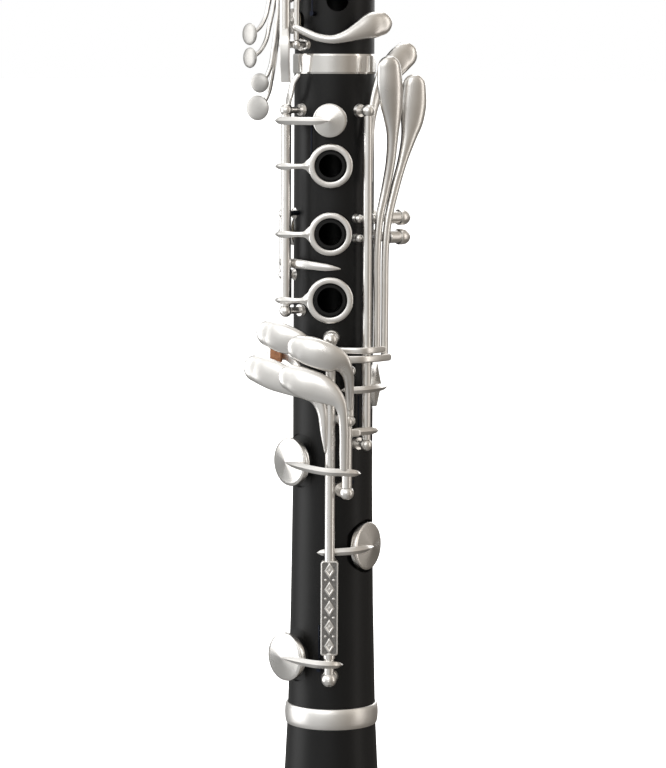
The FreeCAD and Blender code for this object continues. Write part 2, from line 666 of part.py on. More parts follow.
def upper_ring_key():
    """Two finger rings and a small pad on one tube, with the bridge strip at its foot."""
    shapes = [tube_between(UPPER_RING_HINGE, UPPER_RING_LOW, UPPER_RING_HIGH, 1.85)]
    for z, outer, inner in UPPER_RING_HOLES:
        shapes.append(finger_ring(z, outer, inner))
        left = RING_X - outer
        shapes.append(limb([
            (-19.7, 11.3, z - 0.3, 0.2, 0.2),
            (-18.7, 13.0, z - 0.3, 1.0, 0.5),
            (-16.6, 14.1, z - 0.3, 1.25, 0.6),
            (-12.8, 15.4, z - 0.2, 0.85, 0.6),
            (left - 0.7, 16.3, z - 0.1, 1.3, 0.55),
            (left + 0.5, 16.3, z, 2.2, 0.45),
        ], round_start=False))
    angle, z, seat, radius = UPPER_RING_PAD
    cup, pad = cup_and_pad(seat, radius, 1.0)
    cup = swung(stand(cup, angle, z), UPPER_RING_HINGE, -UPPER_RING_SWING)
    pad = swung(stand(pad, angle, z), UPPER_RING_HINGE, -UPPER_RING_SWING)
    arm = limb([
        (-19.7, 11.3, z, 0.2, 0.2),
        (-18.7, 13.1, z, 1.0, 0.6),
        (-14.0, 16.4, z, 1.2, 0.75),
        (-8.0, 18.6, z, 1.2, 0.75),
        (-2.0, 19.4, z, 1.2, 0.75),
        (1.6, 19.3, z, 0.3, 0.3),
    ], round_start=False, round_end=False)
    bridge = limb([
        (-0.2, 22.1, 335.5, 1.2, 0.5),
        (-0.4, 23.2, 332.0, 1.3, 0.5),
        (-0.6, 22.8, 328.0, 1.3, 0.45),
        (-0.9, 21.0, 323.5, 1.15, 0.45),
        (-0.9, 20.0, 318.6, 1.0, 0.45),
    ], angle=-54.0, up=-54.0, corner=3)
    key = joined(shapes + [cup, arm, bridge]).cut(pad).cut(finger_openings(UPPER_RING_HOLES))
    nodes["upper_ring_key"] = bored(key, UPPER_RING_HINGE, UPPER_RING_LOW, UPPER_RING_HIGH)
    nodes["upper_ring_pad"] = pad


def c_sharp_g_sharp_key():
    """A curved lever over the front of the upper joint, on a thin tube."""
    angle, z, seat, radius = C_SHARP_PAD
    cup, pad = cup_and_pad(seat, radius, 1.0)
    cup = stand(cup, angle, z)
    pad = stand(pad, angle, z)
    touch = limb([
        (-12.9, 13.4, 336.6, 1.3, 0.7),
        (-9.8, 14.6, 335.2, 1.3, 0.75),
        (-5.4, 15.9, 333.4, 1.35, 0.75),
        (-0.6, 16.4, 332.8, 1.35, 0.75),
        (4.0, 16.1, 333.9, 1.6, 0.8),
        (8.8, 15.0, 336.0, 2.8, 0.9),
        (12.6, 13.6, 337.5, 4.1, 1.2),
        (16.4, 11.7, 338.1, 3.6, 1.1),
    ], up=(-40, 22))
    arm = limb([
        (-12.9, 11.9, 338.8, 0.9, 0.5),
        (-14.6, 9.3, 338.8, 1.0, 0.55),
        (-15.8, 6.9, 338.8, 0.8, 0.5),
        (-15.8, 5.2, 338.8, 0.3, 0.3),
    ], round_end=False)
    tube = tube_between(C_SHARP_HINGE, C_SHARP_LOW, C_SHARP_HIGH, 1.0)
    key = joined([tube, touch, arm, cup]).cut(pad)
    nodes["c_sharp_g_sharp_key"] = bored(key, C_SHARP_HINGE, C_SHARP_LOW, C_SHARP_HIGH, THIN_ROD)
    nodes["c_sharp_g_sharp_pad"] = pad


def e_flat_sliver_key():
    """A slim leaf between the second and third finger holes of the left hand."""
    angle, z, seat, radius = E_FLAT_PAD
    cup, pad = cup_and_pad(seat, radius, 1.0)
    cup = stand(cup, angle, z)
    pad = stand(pad, angle, z)
    leaf = limb([
        (-15.3, 7.4, 361.9, 1.0, 0.6),
        (-12.0, 12.6, 361.8, 1.5, 0.6),
        (-7.0, 15.2, 361.6, 1.3, 0.55),
        (-2.0, 16.1, 361.3, 1.0, 0.5),
        (2.0, 16.2, 361.0, 0.35, 0.35),
    ])
    arm = limb([
        (-15.4, 6.2, 350.8, 1.0, 0.55),
        (-15.9, 3.2, 350.7, 1.0, 0.55),
        (-16.1, -0.4, 350.6, 0.8, 0.5),
        (-16.1, -2.9, 350.6, 0.3, 0.3),
    ], round_end=False)
    tube = tube_between(E_FLAT_HINGE, E_FLAT_LOW, E_FLAT_HIGH, 1.3)
    key = joined([tube, leaf, arm, cup]).cut(pad)
    nodes["e_flat_sliver_key"] = bored(key, E_FLAT_HINGE, E_FLAT_LOW, E_FLAT_HIGH)
    nodes["e_flat_sliver_pad"] = pad


def thumb_ring_key():
    """The ring round the thumb hole at the back, and the pad above it."""
    angle, z, seat, radius = THUMB_PAD
    cup, pad = cup_and_pad(seat, radius, 1.0)
    swing = UPPER_RING_SWING
    cup = swung(stand(cup, angle, z), THUMB_HINGE, swing)
    pad = swung(stand(pad, angle, z), THUMB_HINGE, swing)
    band = ring(7.2, 5.3, RING_PLANE, RING_PLANE + RING_THICK)
    band = stand(band, 180, THUMB_Z)
    ring_arm = limb([
        (-12.6, -14.4, THUMB_Z, 1.0, 0.6),
        (-10.2, -15.9, THUMB_Z, 1.1, 0.6),
        (-7.9, -16.3, THUMB_Z, 1.6, 0.5),
        (-6.2, -16.3, THUMB_Z, 2.4, 0.4),
    ], round_end=False)
    cup_arm = limb([
        (-12.4, -14.6, z, 1.0, 0.6),
        (-9.0, -17.3, z, 1.1, 0.65),
        (-5.0, -18.7, z, 1.0, 0.65),
        (-1.5, -18.6, z, 0.3, 0.3),
    ], round_end=False)
    tube = tube_between(THUMB_HINGE, THUMB_LOW, THUMB_HIGH, SLIM_TUBE)
    key = joined([tube, band, ring_arm, cup_arm, cup]).cut(pad)
    nodes["thumb_ring_key"] = bored(key, THUMB_HINGE, THUMB_LOW, THUMB_HIGH)
    nodes["thumb_ring_pad"] = pad


# Rocking keys of the upper joint: a touch, a pad and a pivot rod across the body
TRILL_ANGLE = -85.0
TRILL_PIVOT_OUT = 16.6
TRILL_BAR_OUT = 19.2
TRILL_PIVOTS = [420.0, 420.0, 372.0, 372.0]
TRILL_SIDES = [-4.5, -1.5, 4.4, 1.5]
TRILL_PADS = [(-101.2, 487.0), (-90.2, 472.0), (-68.5, 441.0), (-79.4, 426.0)]
TRILL_SEAT = 12.9
TRILL_CUP = 4.2
# Each round touch: x, y, height, radius and the angle that it faces
TRILL_TOUCHES = [
    (-28.6, -0.6, 334.5, 3.7, -50.0),
    (-28.4, -3.6, 326.6, 3.45, -50.0),
    (-25.0, -6.6, 318.2, 3.25, -22.0),
    (-25.8, -4.2, 309.9, 4.2, -25.0),
]
TOUCH_THICK = 1.3
# How a trill lever leaves its touch: share of the way to its bar sideways, share of
# its height left above the bar, distance up from the touch, half width, half depth
TRILL_NECK = [
    (0, 1.0, 0, 1.0, 0.6),
    (0.08, 0.85, 0.7, 1.0, 0.6),
    (0.35, 0.62, 2.6, 1.1, 0.65),
    (0.78, 0.42, 6.0, 1.1, 0.7),
    (1.0, 0.3, 10.5, 1.05, 0.7),
    (1.0, 0.12, 19.0, 1.05, 0.75),
    (1.0, 0, 32.0, 1.05, 0.75),
]


def rocking_cup(angle, z, seat, radius):
    cup, pad = cup_and_pad(seat, radius, 1.0)
    return stand(cup, angle, z), stand(pad, angle, z)


def round_touch(x, y, z, radius, angle):
    """A round touch with a low crown, facing the direction `angle`."""
    rim = TOUCH_THICK * 0.45
    button = revolved([
        (0, -rim),
        (radius - 0.4, -rim),
        (radius, -rim + 0.3),
        (radius, 0),
        (radius * 0.8, rim * 0.75),
        (radius * 0.45, rim * 1.2),
        (0, rim * 1.35),
    ])
    button.Placement = FreeCAD.Placement(
        Vector(x, y, z), FreeCAD.Rotation(framed(angle, 1, 0, 0), Vector(0, 0, 1), direction(angle))
    )
    return button


def side_trill_keys():
    """Four long rocking levers down the side, one above the other at their touches."""
    across, out = framed(TRILL_ANGLE, 1, 0, 0), direction(TRILL_ANGLE)
    bar = TRILL_BAR_OUT
    for place, (x, y, end_z, radius, facing) in enumerate(TRILL_TOUCHES):
        side, pivot = TRILL_SIDES[place], TRILL_PIVOTS[place]
        pad_angle, pad_z = TRILL_PADS[place]
        behind = Vector(x, y, 0) - direction(facing) * 0.5
        end_side, end_out = behind.dot(across), behind.dot(out)
        top = framed(pad_angle, 0, TRILL_SEAT + CUP_RIM + 0.9, 0)
        pad_side, pad_out = top.dot(across), top.dot(out)
        neck = [
            (end_side + (side - end_side) * way, bar + (end_out - bar) * lift, end_z + up, wide, deep)
            for way, lift, up, wide, deep in TRILL_NECK
        ]
        lever = limb(neck + [
            (side, bar, (end_z + 32 + pad_z) / 2, 1.05, 0.75),
            (side, bar, pad_z - 14, 1.05, 0.75),
            (pad_side, bar - 0.4, pad_z - 6, 0.9, 0.7),
            (pad_side, pad_out, pad_z, 0.35, 0.3),
        ], angle=TRILL_ANGLE, up=TRILL_ANGLE, round_start=False, round_end=False)
        hub = rocking_hub(TRILL_ANGLE, TRILL_PIVOT_OUT, pivot, side, 2.0, bar, 1.2)
        cup, pad = rocking_cup(pad_angle, pad_z, TRILL_SEAT, TRILL_CUP)
        touch = round_touch(x, y, end_z, radius, facing)
        key = joined([lever, hub, cup, touch]).cut(pad)
        key = across_bore(key, TRILL_ANGLE, TRILL_PIVOT_OUT, pivot, side, THIN_ROD)
        nodes[f"side_trill_key_{place + 1}"] = key
        nodes[f"side_trill_pad_{place + 1}"] = pad


def throat_keys():
    """The throat A and G sharp keys at the front of the upper joint."""
    lever = limb([
        (1.6, 20.4, 412.5, 3.6, 0.9),
        (1.0, 20.3, 417.0, 3.3, 0.9),
        (0.3, 19.4, 423.0, 1.6, 0.8),
        (0, 18.8, 429.0, 1.2, 0.8),
        (0, 18.6, 437.0, 1.1, 0.75),
        (0, 16.5, 446.0, 0.35, 0.35),
    ], angle=-4, up=-4, round_end=False)
    hub = rocking_hub(-4, 16.3, 428.0, 0, 4.0, 18.6, 1.3)
    cup, pad = rocking_cup(-4, 446.0, 12.9, 4.6)
    key = joined([lever, hub, cup]).cut(pad)
    nodes["throat_a_key"] = across_bore(key, -4, 16.3, 428.0, 0, THIN_ROD)
    nodes["throat_a_pad"] = pad

    lever = limb([
        (-2.0, 20.4, 409.0, 2.6, 0.9),
        (-1.8, 20.4, 415.0, 2.8, 0.9),
        (-0.8, 19.4, 424.0, 1.5, 0.8),
        (0, 18.8, 433.0, 1.2, 0.8),
        (0, 18.6, 441.0, 1.1, 0.75),
        (0, 16.5, 451.0, 0.35, 0.35),
    ], angle=38, up=38, round_end=False)
    hub = rocking_hub(38, 16.3, 434.0, 0, 4.0, 18.6, 1.3)
    cup, pad = rocking_cup(38, 451.0, 12.9, 4.6)
    key = joined([lever, hub, cup]).cut(pad)
    nodes["throat_g_sharp_key"] = across_bore(key, 38, 16.3, 434.0, 0, THIN_ROD)
    nodes["throat_g_sharp_pad"] = pad


def register_key():
    """The register key at the back, worked by the thumb."""
    lever = limb([
        (0, 20.6, 416.0, 2.6, 0.9),
        (0, 21.0, 420.0, 3.0, 0.9),
        (0, 20.2, 428.0, 1.8, 0.85),
        (0, 18.9, 440.0, 1.4, 0.8),
        (0, 18.7, 462.0, 1.2, 0.8),
        (0, 18.4, 480.0, 1.0, 0.75),
        (0, 16.5, 488.0, 0.35, 0.35),
    ], angle=158, up=158, round_end=False)
    hub = rocking_hub(158, 16.3, 446.0, 0, 4.0, 18.6, 1.3)
    cup, pad = rocking_cup(158, 488.0, 12.9, 3.6)
    key = joined([lever, hub, cup]).cut(pad)
    nodes["register_key"] = across_bore(key, 158, 16.3, 446.0, 0, THIN_ROD)
    nodes["register_pad"] = pad


def rocking_posts(angle, pivot_out, z, start, end, ball=1.5):
    """Two posts and a thin rod across the body for rocking keys."""
    post("upper", angle, pivot_out, z, ball=ball, side=start, stem=0.95)
    post("upper", angle, pivot_out, z, ball=ball, side=end, stem=0.95)
    rods.append(across_cylinder(angle, pivot_out, z, start - 0.9, end + 0.9, THIN_ROD))


def upper_hardware():
    """Posts and rods of the upper joint."""
    for z in (UPPER_RING_LOW, UPPER_RING_HIGH):
        post("upper", -54.0, 20.5, z, ball=2.1)
    for z in (C_SHARP_LOW, C_SHARP_HIGH):
        post("upper", -44.6, 18.0, z, ball=1.6)
    for z in (THUMB_LOW, THUMB_HIGH):
        post("upper", -140.0, 18.0, z, ball=1.9)
    for z in (E_FLAT_LOW, E_FLAT_HIGH):
        post("upper", -66.0, 16.4, z, ball=1.5)
    for z in sorted(set(TRILL_PIVOTS)):
        rocking_posts(TRILL_ANGLE, TRILL_PIVOT_OUT, z, -7.3, 7.0)
    rocking_posts(-4, 16.3, 428.0, -4.2, 4.2)
    rocking_posts(38, 16.3, 434.0, -4.2, 4.2)
    rocking_posts(158, 16.3, 446.0, -4.2, 4.2)
    upright_hinge(UPPER_RING_HINGE, UPPER_RING_LOW, UPPER_RING_HIGH, 1.85)
    upright_hinge(C_SHARP_HINGE, C_SHARP_LOW, C_SHARP_HIGH, 1.0, THIN_ROD)
    upright_hinge(THUMB_HINGE, THUMB_LOW, THUMB_HIGH, SLIM_TUBE)
    upright_hinge(E_FLAT_HINGE, E_FLAT_LOW, E_FLAT_HIGH, 1.3)


# ---------------------------------------------------------------- body pieces

SEAT_HOLE = 0.55
RECESS = 0.9


def tone_hole(angle, z, radius, bottom=5.0):
    return stand(cylinder(radius, bottom, 20), angle, z)


def seated_holes(body, pads):
    """Cut each pad's spot face and tone hole, and leave or add its raised rim."""
    for angle, z, seat, radius in pads:
        floor = seat - RECESS
        body = body.cut(stand(cylinder(radius + 0.9, floor, 20), angle, z))
        body = body.fuse(stand(cylinder(radius * 0.72, BORE + 0.6, seat), angle, z))
        body = body.cut(tone_hole(angle, z, radius * SEAT_HOLE))
    return body


def chimney_holes(body, holes):
    """Add a raised chimney round each open finger hole and bore it."""
    for z, _, inner in holes:
        body = body.fuse(stand(cylinder(inner - 0.6, BORE + 0.6, CHIMNEY_TOP), 0, z, RING_X))
        body = body.cut(stand(cylinder(inner - 1.45, 0, 20), 0, z, RING_X))
    return body


def lower_joint():
    skin = revolved([
        (0, BELL_TOP),
        (LOWER_FOOT_RADIUS, BELL_TOP),
        (14.1, 142),
        (LOWER_RADIUS, 184),
        (LOWER_RADIUS, LOWER_TOP),
        (0, LOWER_TOP),
    ])
    tenon = cylinder(LOWER_TENON_RADIUS, BELL_TOP - LOWER_TENON_LENGTH, BELL_TOP)
    body = seated_holes(skin.fuse(tenon), [SLIVER_PAD, A_FLAT_PAD, F_C_PAD, F_SHARP_PAD, E_B_PAD])
    body = seated_holes(body, [TOP_PAD])
    body = chimney_holes(body, RING_HOLES)
    foot = BELL_TOP - LOWER_TENON_LENGTH
    bore = revolved([(0, foot), (9.8, foot), (BORE, 165), (BORE, LOWER_TOP), (0, LOWER_TOP)])
    socket = cylinder(
        TENON_RADIUS + CORK_THICKNESS + SOCKET_PLAY, LOWER_TOP - TENON_LENGTH - 0.5, LOWER_TOP
    )
    ring_room = ring(20, 13.0, LOWER_TOP - 6.6, LOWER_TOP)
    body = body.cut(bore.fuse(socket)).cut(ring_room)
    cork_room = ring(
        LOWER_TENON_RADIUS + 1, LOWER_TENON_RADIUS - 0.5, foot + 3, BELL_TOP - 2
    )
    body = body.cut(cork_room)
    envelope = skin.cut(cylinder(5, BELL_TOP - 1, LOWER_TOP + 1))
    finish_posts("lower", envelope)
    body = body.cut(Part.makeCompound(shanks["lower"]))
    nodes["lower_joint"] = body
    nodes["lower_joint_socket_ring"] = revolved([
        (13.0, LOWER_TOP - 6.6),
        (13.75, LOWER_TOP - 6.6),
        (13.95, LOWER_TOP - 6.0),
        (13.95, LOWER_TOP - 0.6),
        (13.75, LOWER_TOP),
        (13.0, LOWER_TOP),
    ])


def upper_joint():
    skin = cylinder(UPPER_RADIUS, LOWER_TOP, UPPER_TOP)
    tenons = cylinder(TENON_RADIUS, LOWER_TOP - TENON_LENGTH, UPPER_TOP + TENON_LENGTH)
    trill_pads = [(angle, z, TRILL_SEAT, TRILL_CUP) for angle, z in TRILL_PADS]
    throat_pads = [(-4, 446.0, 12.9, 4.6), (38, 451.0, 12.9, 4.6), (158, 488.0, 12.9, 3.6)]
    pads = [UPPER_RING_PAD, C_SHARP_PAD, E_FLAT_PAD, THUMB_PAD]
    body = seated_holes(skin.fuse(tenons), pads + trill_pads + throat_pads)
    body = chimney_holes(body, UPPER_RING_HOLES)
    angle, z, radius = THIRD_HOLE
    body = body.cut(tone_hole(angle, z, radius, 0))
    body = body.cut(stand(cylinder(4.7, 0, 20), 180, THUMB_Z))
    low, high = LOWER_TOP - TENON_LENGTH, UPPER_TOP + TENON_LENGTH
    body = body.cut(cylinder(BORE, low, high))
    for start in (low + 2, UPPER_TOP + 2):
        body = body.cut(ring(TENON_RADIUS + 1, TENON_RADIUS - 0.5, start, start + TENON_LENGTH - 4))
    finish_posts("upper", skin.cut(cylinder(5, LOWER_TOP - 1, UPPER_TOP + 1)))
    nodes["upper_joint"] = body.cut(Part.makeCompound(shanks["upper"]))
    nodes["thumb_tube"] = stand(ring(4.7, 3.6, BORE + 0.8, CHIMNEY_TOP), 180, THUMB_Z)


def finish_posts(part, envelope):
    """Trim the posts to the body and to the key tubes, and drill them for the rods."""
    drill = Part.makeCompound(rods)
    room = Part.makeCompound(bearings)
    finished = []
    for whole, shank in zip(posts[part], shanks[part]):
        above = whole.cut(envelope).cut(room).cut(drill)
        finished += above.fuse(shank).Solids
    merged = finished[0].multiFuse(finished[1:]) if len(finished) > 1 else finished[0]
    nodes[f"{part}_posts"] = Part.makeCompound(merged.Solids)


def corks():
    foot = BELL_TOP - LOWER_TENON_LENGTH
    sleeves = [
        ring(LOWER_TENON_RADIUS + CORK_THICKNESS, LOWER_TENON_RADIUS - 0.5, foot + 3, BELL_TOP - 2)
    ]
    for start in (LOWER_TOP - TENON_LENGTH + 2, UPPER_TOP + 2):
        sleeves.append(
            ring(TENON_RADIUS + CORK_THICKNESS, TENON_RADIUS - 0.5, start, start + TENON_LENGTH - 4)
        )
    nodes["tenon_corks"] = Part.makeCompound(sleeves)


def smooth_profile(points):
    """A wire edge through (radius, height) points."""
    curve = Part.BSplineCurve()
    curve.interpolate([Vector(radius, 0, z) for radius, z in points])
    return curve.toShape()


def bell():
    """The flared bell, with its socket at the top and a rolled rim at the bottom."""
    outside = [(39.2, 6.5), (34.2, 12), (28.2, 22), (23.2, 36), (19.4, 54), (17.0, 72), (15.6, 92)]
    inside = [(10.0, 86.5), (11.4, 72), (14.2, 54), (18.0, 36), (23.4, 22), (30.5, 10), (35.5, 0)]
    socket_radius = LOWER_TENON_RADIUS + CORK_THICKNESS + SOCKET_PLAY
    corners = [
        [(35.5, 0), (37.8, 0)],
        [(37.8, 0), (37.8, 6.5)],
        [(37.8, 6.5), (39.2, 6.5)],
        [(15.6, 92), (15.2, 99.8)],
        [(15.2, 99.8), (15.0, 99.8)],
        [(15.0, 99.8), (15.0, BELL_TOP)],
        [(15.0, BELL_TOP), (socket_radius, BELL_TOP)],
        [(socket_radius, BELL_TOP), (socket_radius, 86.5)],
        [(socket_radius, 86.5), (10.0, 86.5)],
    ]
    edges = [Part.makeLine(Vector(a, 0, b), Vector(c, 0, d)) for (a, b), (c, d) in corners]
    edges.append(smooth_profile(outside))
    edges.append(smooth_profile(inside))
    face = Part.Face(Part.Wire(Part.__sortEdges__(edges)))
    nodes["bell"] = face.revolve(Vector(0, 0, 0), Vector(0, 0, 1), 360)
    socket_ring = revolved([
        (15.0, 99.8),
        (15.6, 99.8),
        (15.85, 100.6),
        (15.9, 103.4),
        (15.85, 106.2),
        (15.6, BELL_TOP),
        (15.0, BELL_TOP),
    ])
    rim_ring = revolved([
        (37.8, 0.6),
        (38.8, 0.6),
        (BELL_MOUTH_RADIUS, 1.6),
        (BELL_MOUTH_RADIUS, 5.6),
        (39.2, 6.5),
        (37.8, 6.5),
    ])
    nodes["bell_rings"] = Part.makeCompound([socket_ring, rim_ring])


def barrel():
    low, high = UPPER_TOP, BARREL_TOP
    skin = revolved([
        (0, low),
        (14.6, low),
        (14.6, low + 6),
        (13.5, low + 16),
        (13.3, low + 32),
        (13.9, high - 14),
        (15.3, high - 6),
        (15.3, high),
        (0, high),
    ])
    socket = TENON_RADIUS + CORK_THICKNESS + SOCKET_PLAY
    body = skin.cut(cylinder(BORE + 0.15, low, high))
    body = body.cut(cylinder(socket, low, low + TENON_LENGTH + 0.6))
    body = body.cut(cylinder(socket, high - TENON_LENGTH - 0.6, high))
    body = body.cut(ring(20, 14.0, low, low + 5.5)).cut(ring(20, 14.7, high - 5.5, high))
    nodes["barrel"] = body
    nodes["barrel_rings"] = Part.makeCompound([
        revolved([(14.0, low), (14.8, low), (15.1, low + 0.5), (15.1, low + 5.0), (14.8, low + 5.5),
                  (14.0, low + 5.5)]),
        revolved([(14.7, high - 5.5), (15.5, high - 5.5), (15.8, high - 5.0), (15.8, high - 0.5),
                  (15.5, high), (14.7, high)]),
    ])


# ---------------------------------------------------------------- mouthpiece

TABLE_Y = 8.6
WINDOW_WIDTH = 11.0
REED_LOW = BARREL_TOP + 6.0


def mouthpiece():
    """The mouthpiece: a wedge with a flat table at the back, a window and a sloping beak."""
    low = BARREL_TOP
    outer = revolved([
        (0, low - TENON_LENGTH),
        (TENON_RADIUS, low - TENON_LENGTH),
        (TENON_RADIUS, low),
        (14.2, low),
        (14.2, low + 3),
        (13.4, low + 6),
        (12.4, low + 40),
        (11.4, TIP),
        (0, TIP),
    ])
    beak_start = low + 40
    beak = Part.Face(Part.makePolygon([
        Vector(0, -20, beak_start - 8),
        Vector(0, -12.6, beak_start),
        Vector(0, TABLE_Y - 1.6, TIP),
        Vector(0, -20, TIP),
        Vector(0, -20, beak_start - 8),
    ])).extrude(Vector(40, 0, 0))
    beak.translate(Vector(-20, 0, 0))
    table = Part.makeBox(40, 20, TIP - low - 5.0, Vector(-20, TABLE_Y, low + 5.0))
    cheeks = []
    for way in (-1, 1):
        cheek = Part.Face(Part.makePolygon([
            Vector(way * 20, -20, beak_start - 10),
            Vector(way * 12.6, -20, beak_start - 10),
            Vector(way * 6.6, -20, TIP),
            Vector(way * 20, -20, TIP),
            Vector(way * 20, -20, beak_start - 10),
        ])).extrude(Vector(0, 40, 0))
        cheeks.append(cheek)
    body = outer.cut(beak).cut(table).cut(cheeks[0]).cut(cheeks[1])
    body = body.cut(cylinder(BORE, low - TENON_LENGTH, low + 44))
    throat = Part.Face(Part.makePolygon([
        Vector(-WINDOW_WIDTH / 2, -4.5, low + 30),
        Vector(-WINDOW_WIDTH / 2, TABLE_Y + 1, low + 38),
        Vector(-WINDOW_WIDTH / 2, TABLE_Y + 1, TIP - 2.0),
        Vector(-WINDOW_WIDTH / 2, TABLE_Y - 0.9, TIP - 2.0),
        Vector(-WINDOW_WIDTH / 2, -4.5, low + 44),
        Vector(-WINDOW_WIDTH / 2, -4.5, low + 30),
    ])).extrude(Vector(WINDOW_WIDTH, 0, 0))
    body = body.cut(throat)
    cork_low, cork_high = low - TENON_LENGTH + 2, low - 2
    body = body.cut(ring(TENON_RADIUS + 1, TENON_RADIUS - 0.5, cork_low, cork_high))
    nodes["mouthpiece"] = body
    nodes["mouthpiece_cork"] = ring(
        TENON_RADIUS + CORK_THICKNESS, TENON_RADIUS - 0.5, cork_low, cork_high
    )


def reed():
    """A cane reed: flat against the table, rounded outside, thinned to its tip."""
    length = TIP - 1.0 - REED_LOW
    blank = Part.makeBox(13.0, 3.2, length, Vector(-6.5, TABLE_Y, REED_LOW))
    round_back = cylinder(11.9, REED_LOW, REED_LOW + length)
    vamp = Part.Face(Part.makePolygon([
        Vector(-10, TABLE_Y + 3.4, REED_LOW + 36),
        Vector(-10, TABLE_Y + 0.35, REED_LOW + length),
        Vector(-10, TABLE_Y + 8, REED_LOW + length),
        Vector(-10, TABLE_Y + 8, REED_LOW + 36),
        Vector(-10, TABLE_Y + 3.4, REED_LOW + 36),
    ])).extrude(Vector(20, 0, 0))
    nodes["reed"] = blank.common(round_back).cut(vamp)


LIGATURE_LOW, LIGATURE_HIGH = BARREL_TOP + 8.0, BARREL_TOP + 30.0
LIGATURE_SCREWS = {"ligature_screw_lower": LIGATURE_LOW + 5, "ligature_screw_upper": LIGATURE_HIGH - 5}
LUG_OUT = 15.4
SCREW_RADIUS = 1.2


def ligature():
    """A thin metal band round the mouthpiece and reed, with two lugs and thumb screws."""
    inner = 13.55
    band = ring(inner + 0.6, inner, LIGATURE_LOW, LIGATURE_HIGH)
    slot = Part.makeBox(3.0, 20, 40, Vector(-1.5, 5, LIGATURE_LOW - 5))
    band = band.cut(slot)
    shapes = [band]
    for z in LIGATURE_SCREWS.values():
        for start in (-5.0, 1.7):
            lug = Part.makeCylinder(2.0, 3.3, Vector(start, LUG_OUT, z), Vector(1, 0, 0))
            web = Part.makeBox(3.3, 3.0, 3.0, Vector(start, LUG_OUT - 2.6, z - 1.5))
            shapes.append(lug.fuse(web))
    whole = joined(shapes).cut(cylinder(inner, LIGATURE_LOW - 1, LIGATURE_HIGH + 1))
    for name, z in LIGATURE_SCREWS.items():
        hole = Part.makeCylinder(SCREW_RADIUS + 0.05, 20, Vector(-10, LUG_OUT, z), Vector(1, 0, 0))
        whole = whole.cut(hole)
        shaft = Part.makeCylinder(SCREW_RADIUS, 12.6, Vector(-6.0, LUG_OUT, z), Vector(1, 0, 0))
        collar = Part.makeCylinder(2.0, 1.2, Vector(5.1, LUG_OUT, z), Vector(1, 0, 0))
        head = Part.makeCylinder(4.2, 1.8, Vector(10.4, LUG_OUT, z - 0.9), Vector(0, 0, 1))
        head = head.makeFillet(0.5, head.Edges)
        nodes[name] = joined([shaft, collar, head])
    nodes["ligature"] = whole


# ---------------------------------------------------------------- thumb rest

REST_LOW, REST_HIGH = 232.0, 268.0
REST_OUT = 14.6


def thumb_rest():
    """A curved plate screwed to the back, a hook that slides on it, and its locking screw."""
    plate = Part.makeBox(12.0, 3.0, REST_HIGH - REST_LOW, Vector(-6.0, REST_OUT - 3.0, REST_LOW))
    ends = [e for e in plate.Edges if e.BoundBox.YLength > 2.9]
    plate = plate.makeFillet(3.0, ends)
    plate = plate.cut(cylinder(LOWER_RADIUS, REST_LOW - 1, REST_HIGH + 1))
    nodes["thumb_rest_plate"] = plate
    slide = Part.makeBox(9.0, 1.6, 17.0, Vector(-4.5, REST_OUT + 0.06, 241.0))
    hook = thumb_hook()
    strap = ring(5.2, 3.5, -1.0, 1.0)
    strap.Placement = FreeCAD.Placement(
        Vector(0, REST_OUT + 5.6, 257.0), FreeCAD.Rotation(Vector(0, 1, 0), 90)
    )
    key = joined([slide, hook, strap])
    screw_z = 248.5
    hole = Part.makeCylinder(1.05, 6, Vector(0, REST_OUT - 1, screw_z), Vector(0, 1, 0))
    nodes["thumb_rest_hook"] = key.cut(hole)
    screw = Part.makeCylinder(1.0, 2.2, Vector(0, REST_OUT + 0.1, screw_z), Vector(0, 1, 0))
    head = Part.makeCylinder(2.3, 2.0, Vector(0, REST_OUT + 1.76, screw_z), Vector(0, 1, 0))
    head = head.makeFillet(0.4, [e for e in head.Edges if e.Closed])
    nodes["thumb_rest_screw"] = joined([screw, head])


def thumb_hook():
    """The curved shelf that the thumb carries, wide across the body."""
    low_side = Part.makeBox(10.0, 17.0, 2.0, Vector(-5.0, REST_OUT + 0.8, 241.2))
    corners = [e for e in low_side.Edges if e.BoundBox.ZLength > 1.9 and e.BoundBox.YMin > REST_OUT + 9]
    return low_side.makeFillet(3.5, corners)


# ---------------------------------------------------------------- needle springs

# Each spring: angle round the body, distance out, low end, high end
SPRINGS = [
    (-62.0, 16.6, 274.0, 288.0),
    (-30.0, 15.0, 292.0, 306.0),
    (-60.0, 16.6, 244.0, 256.0),
    (34.0, 15.4, 200.0, 214.0),
    (24.0, 15.6, 184.0, 196.0),
    (-16.0, 15.6, 120.0, 136.0),
    (-30.0, 15.0, 340.5, 352.0),
    (-147.0, 15.6, 388.0, 398.0),
]


def needle_springs():
    """Blued steel needle springs, each let into a small stud on the body."""
    wires = []
    for angle, out, low, high in SPRINGS:
        centre = framed(angle, 0, out, 0)
        wire = cylinder(0.3, low, high, centre)
        skin = surface(low)
        stud = stand(cylinder(0.8, skin + 0.02, out + 0.6), angle, low + 0.8)
        wires.append(wire.fuse(stud))
    nodes["needle_springs"] = Part.makeCompound(wires)


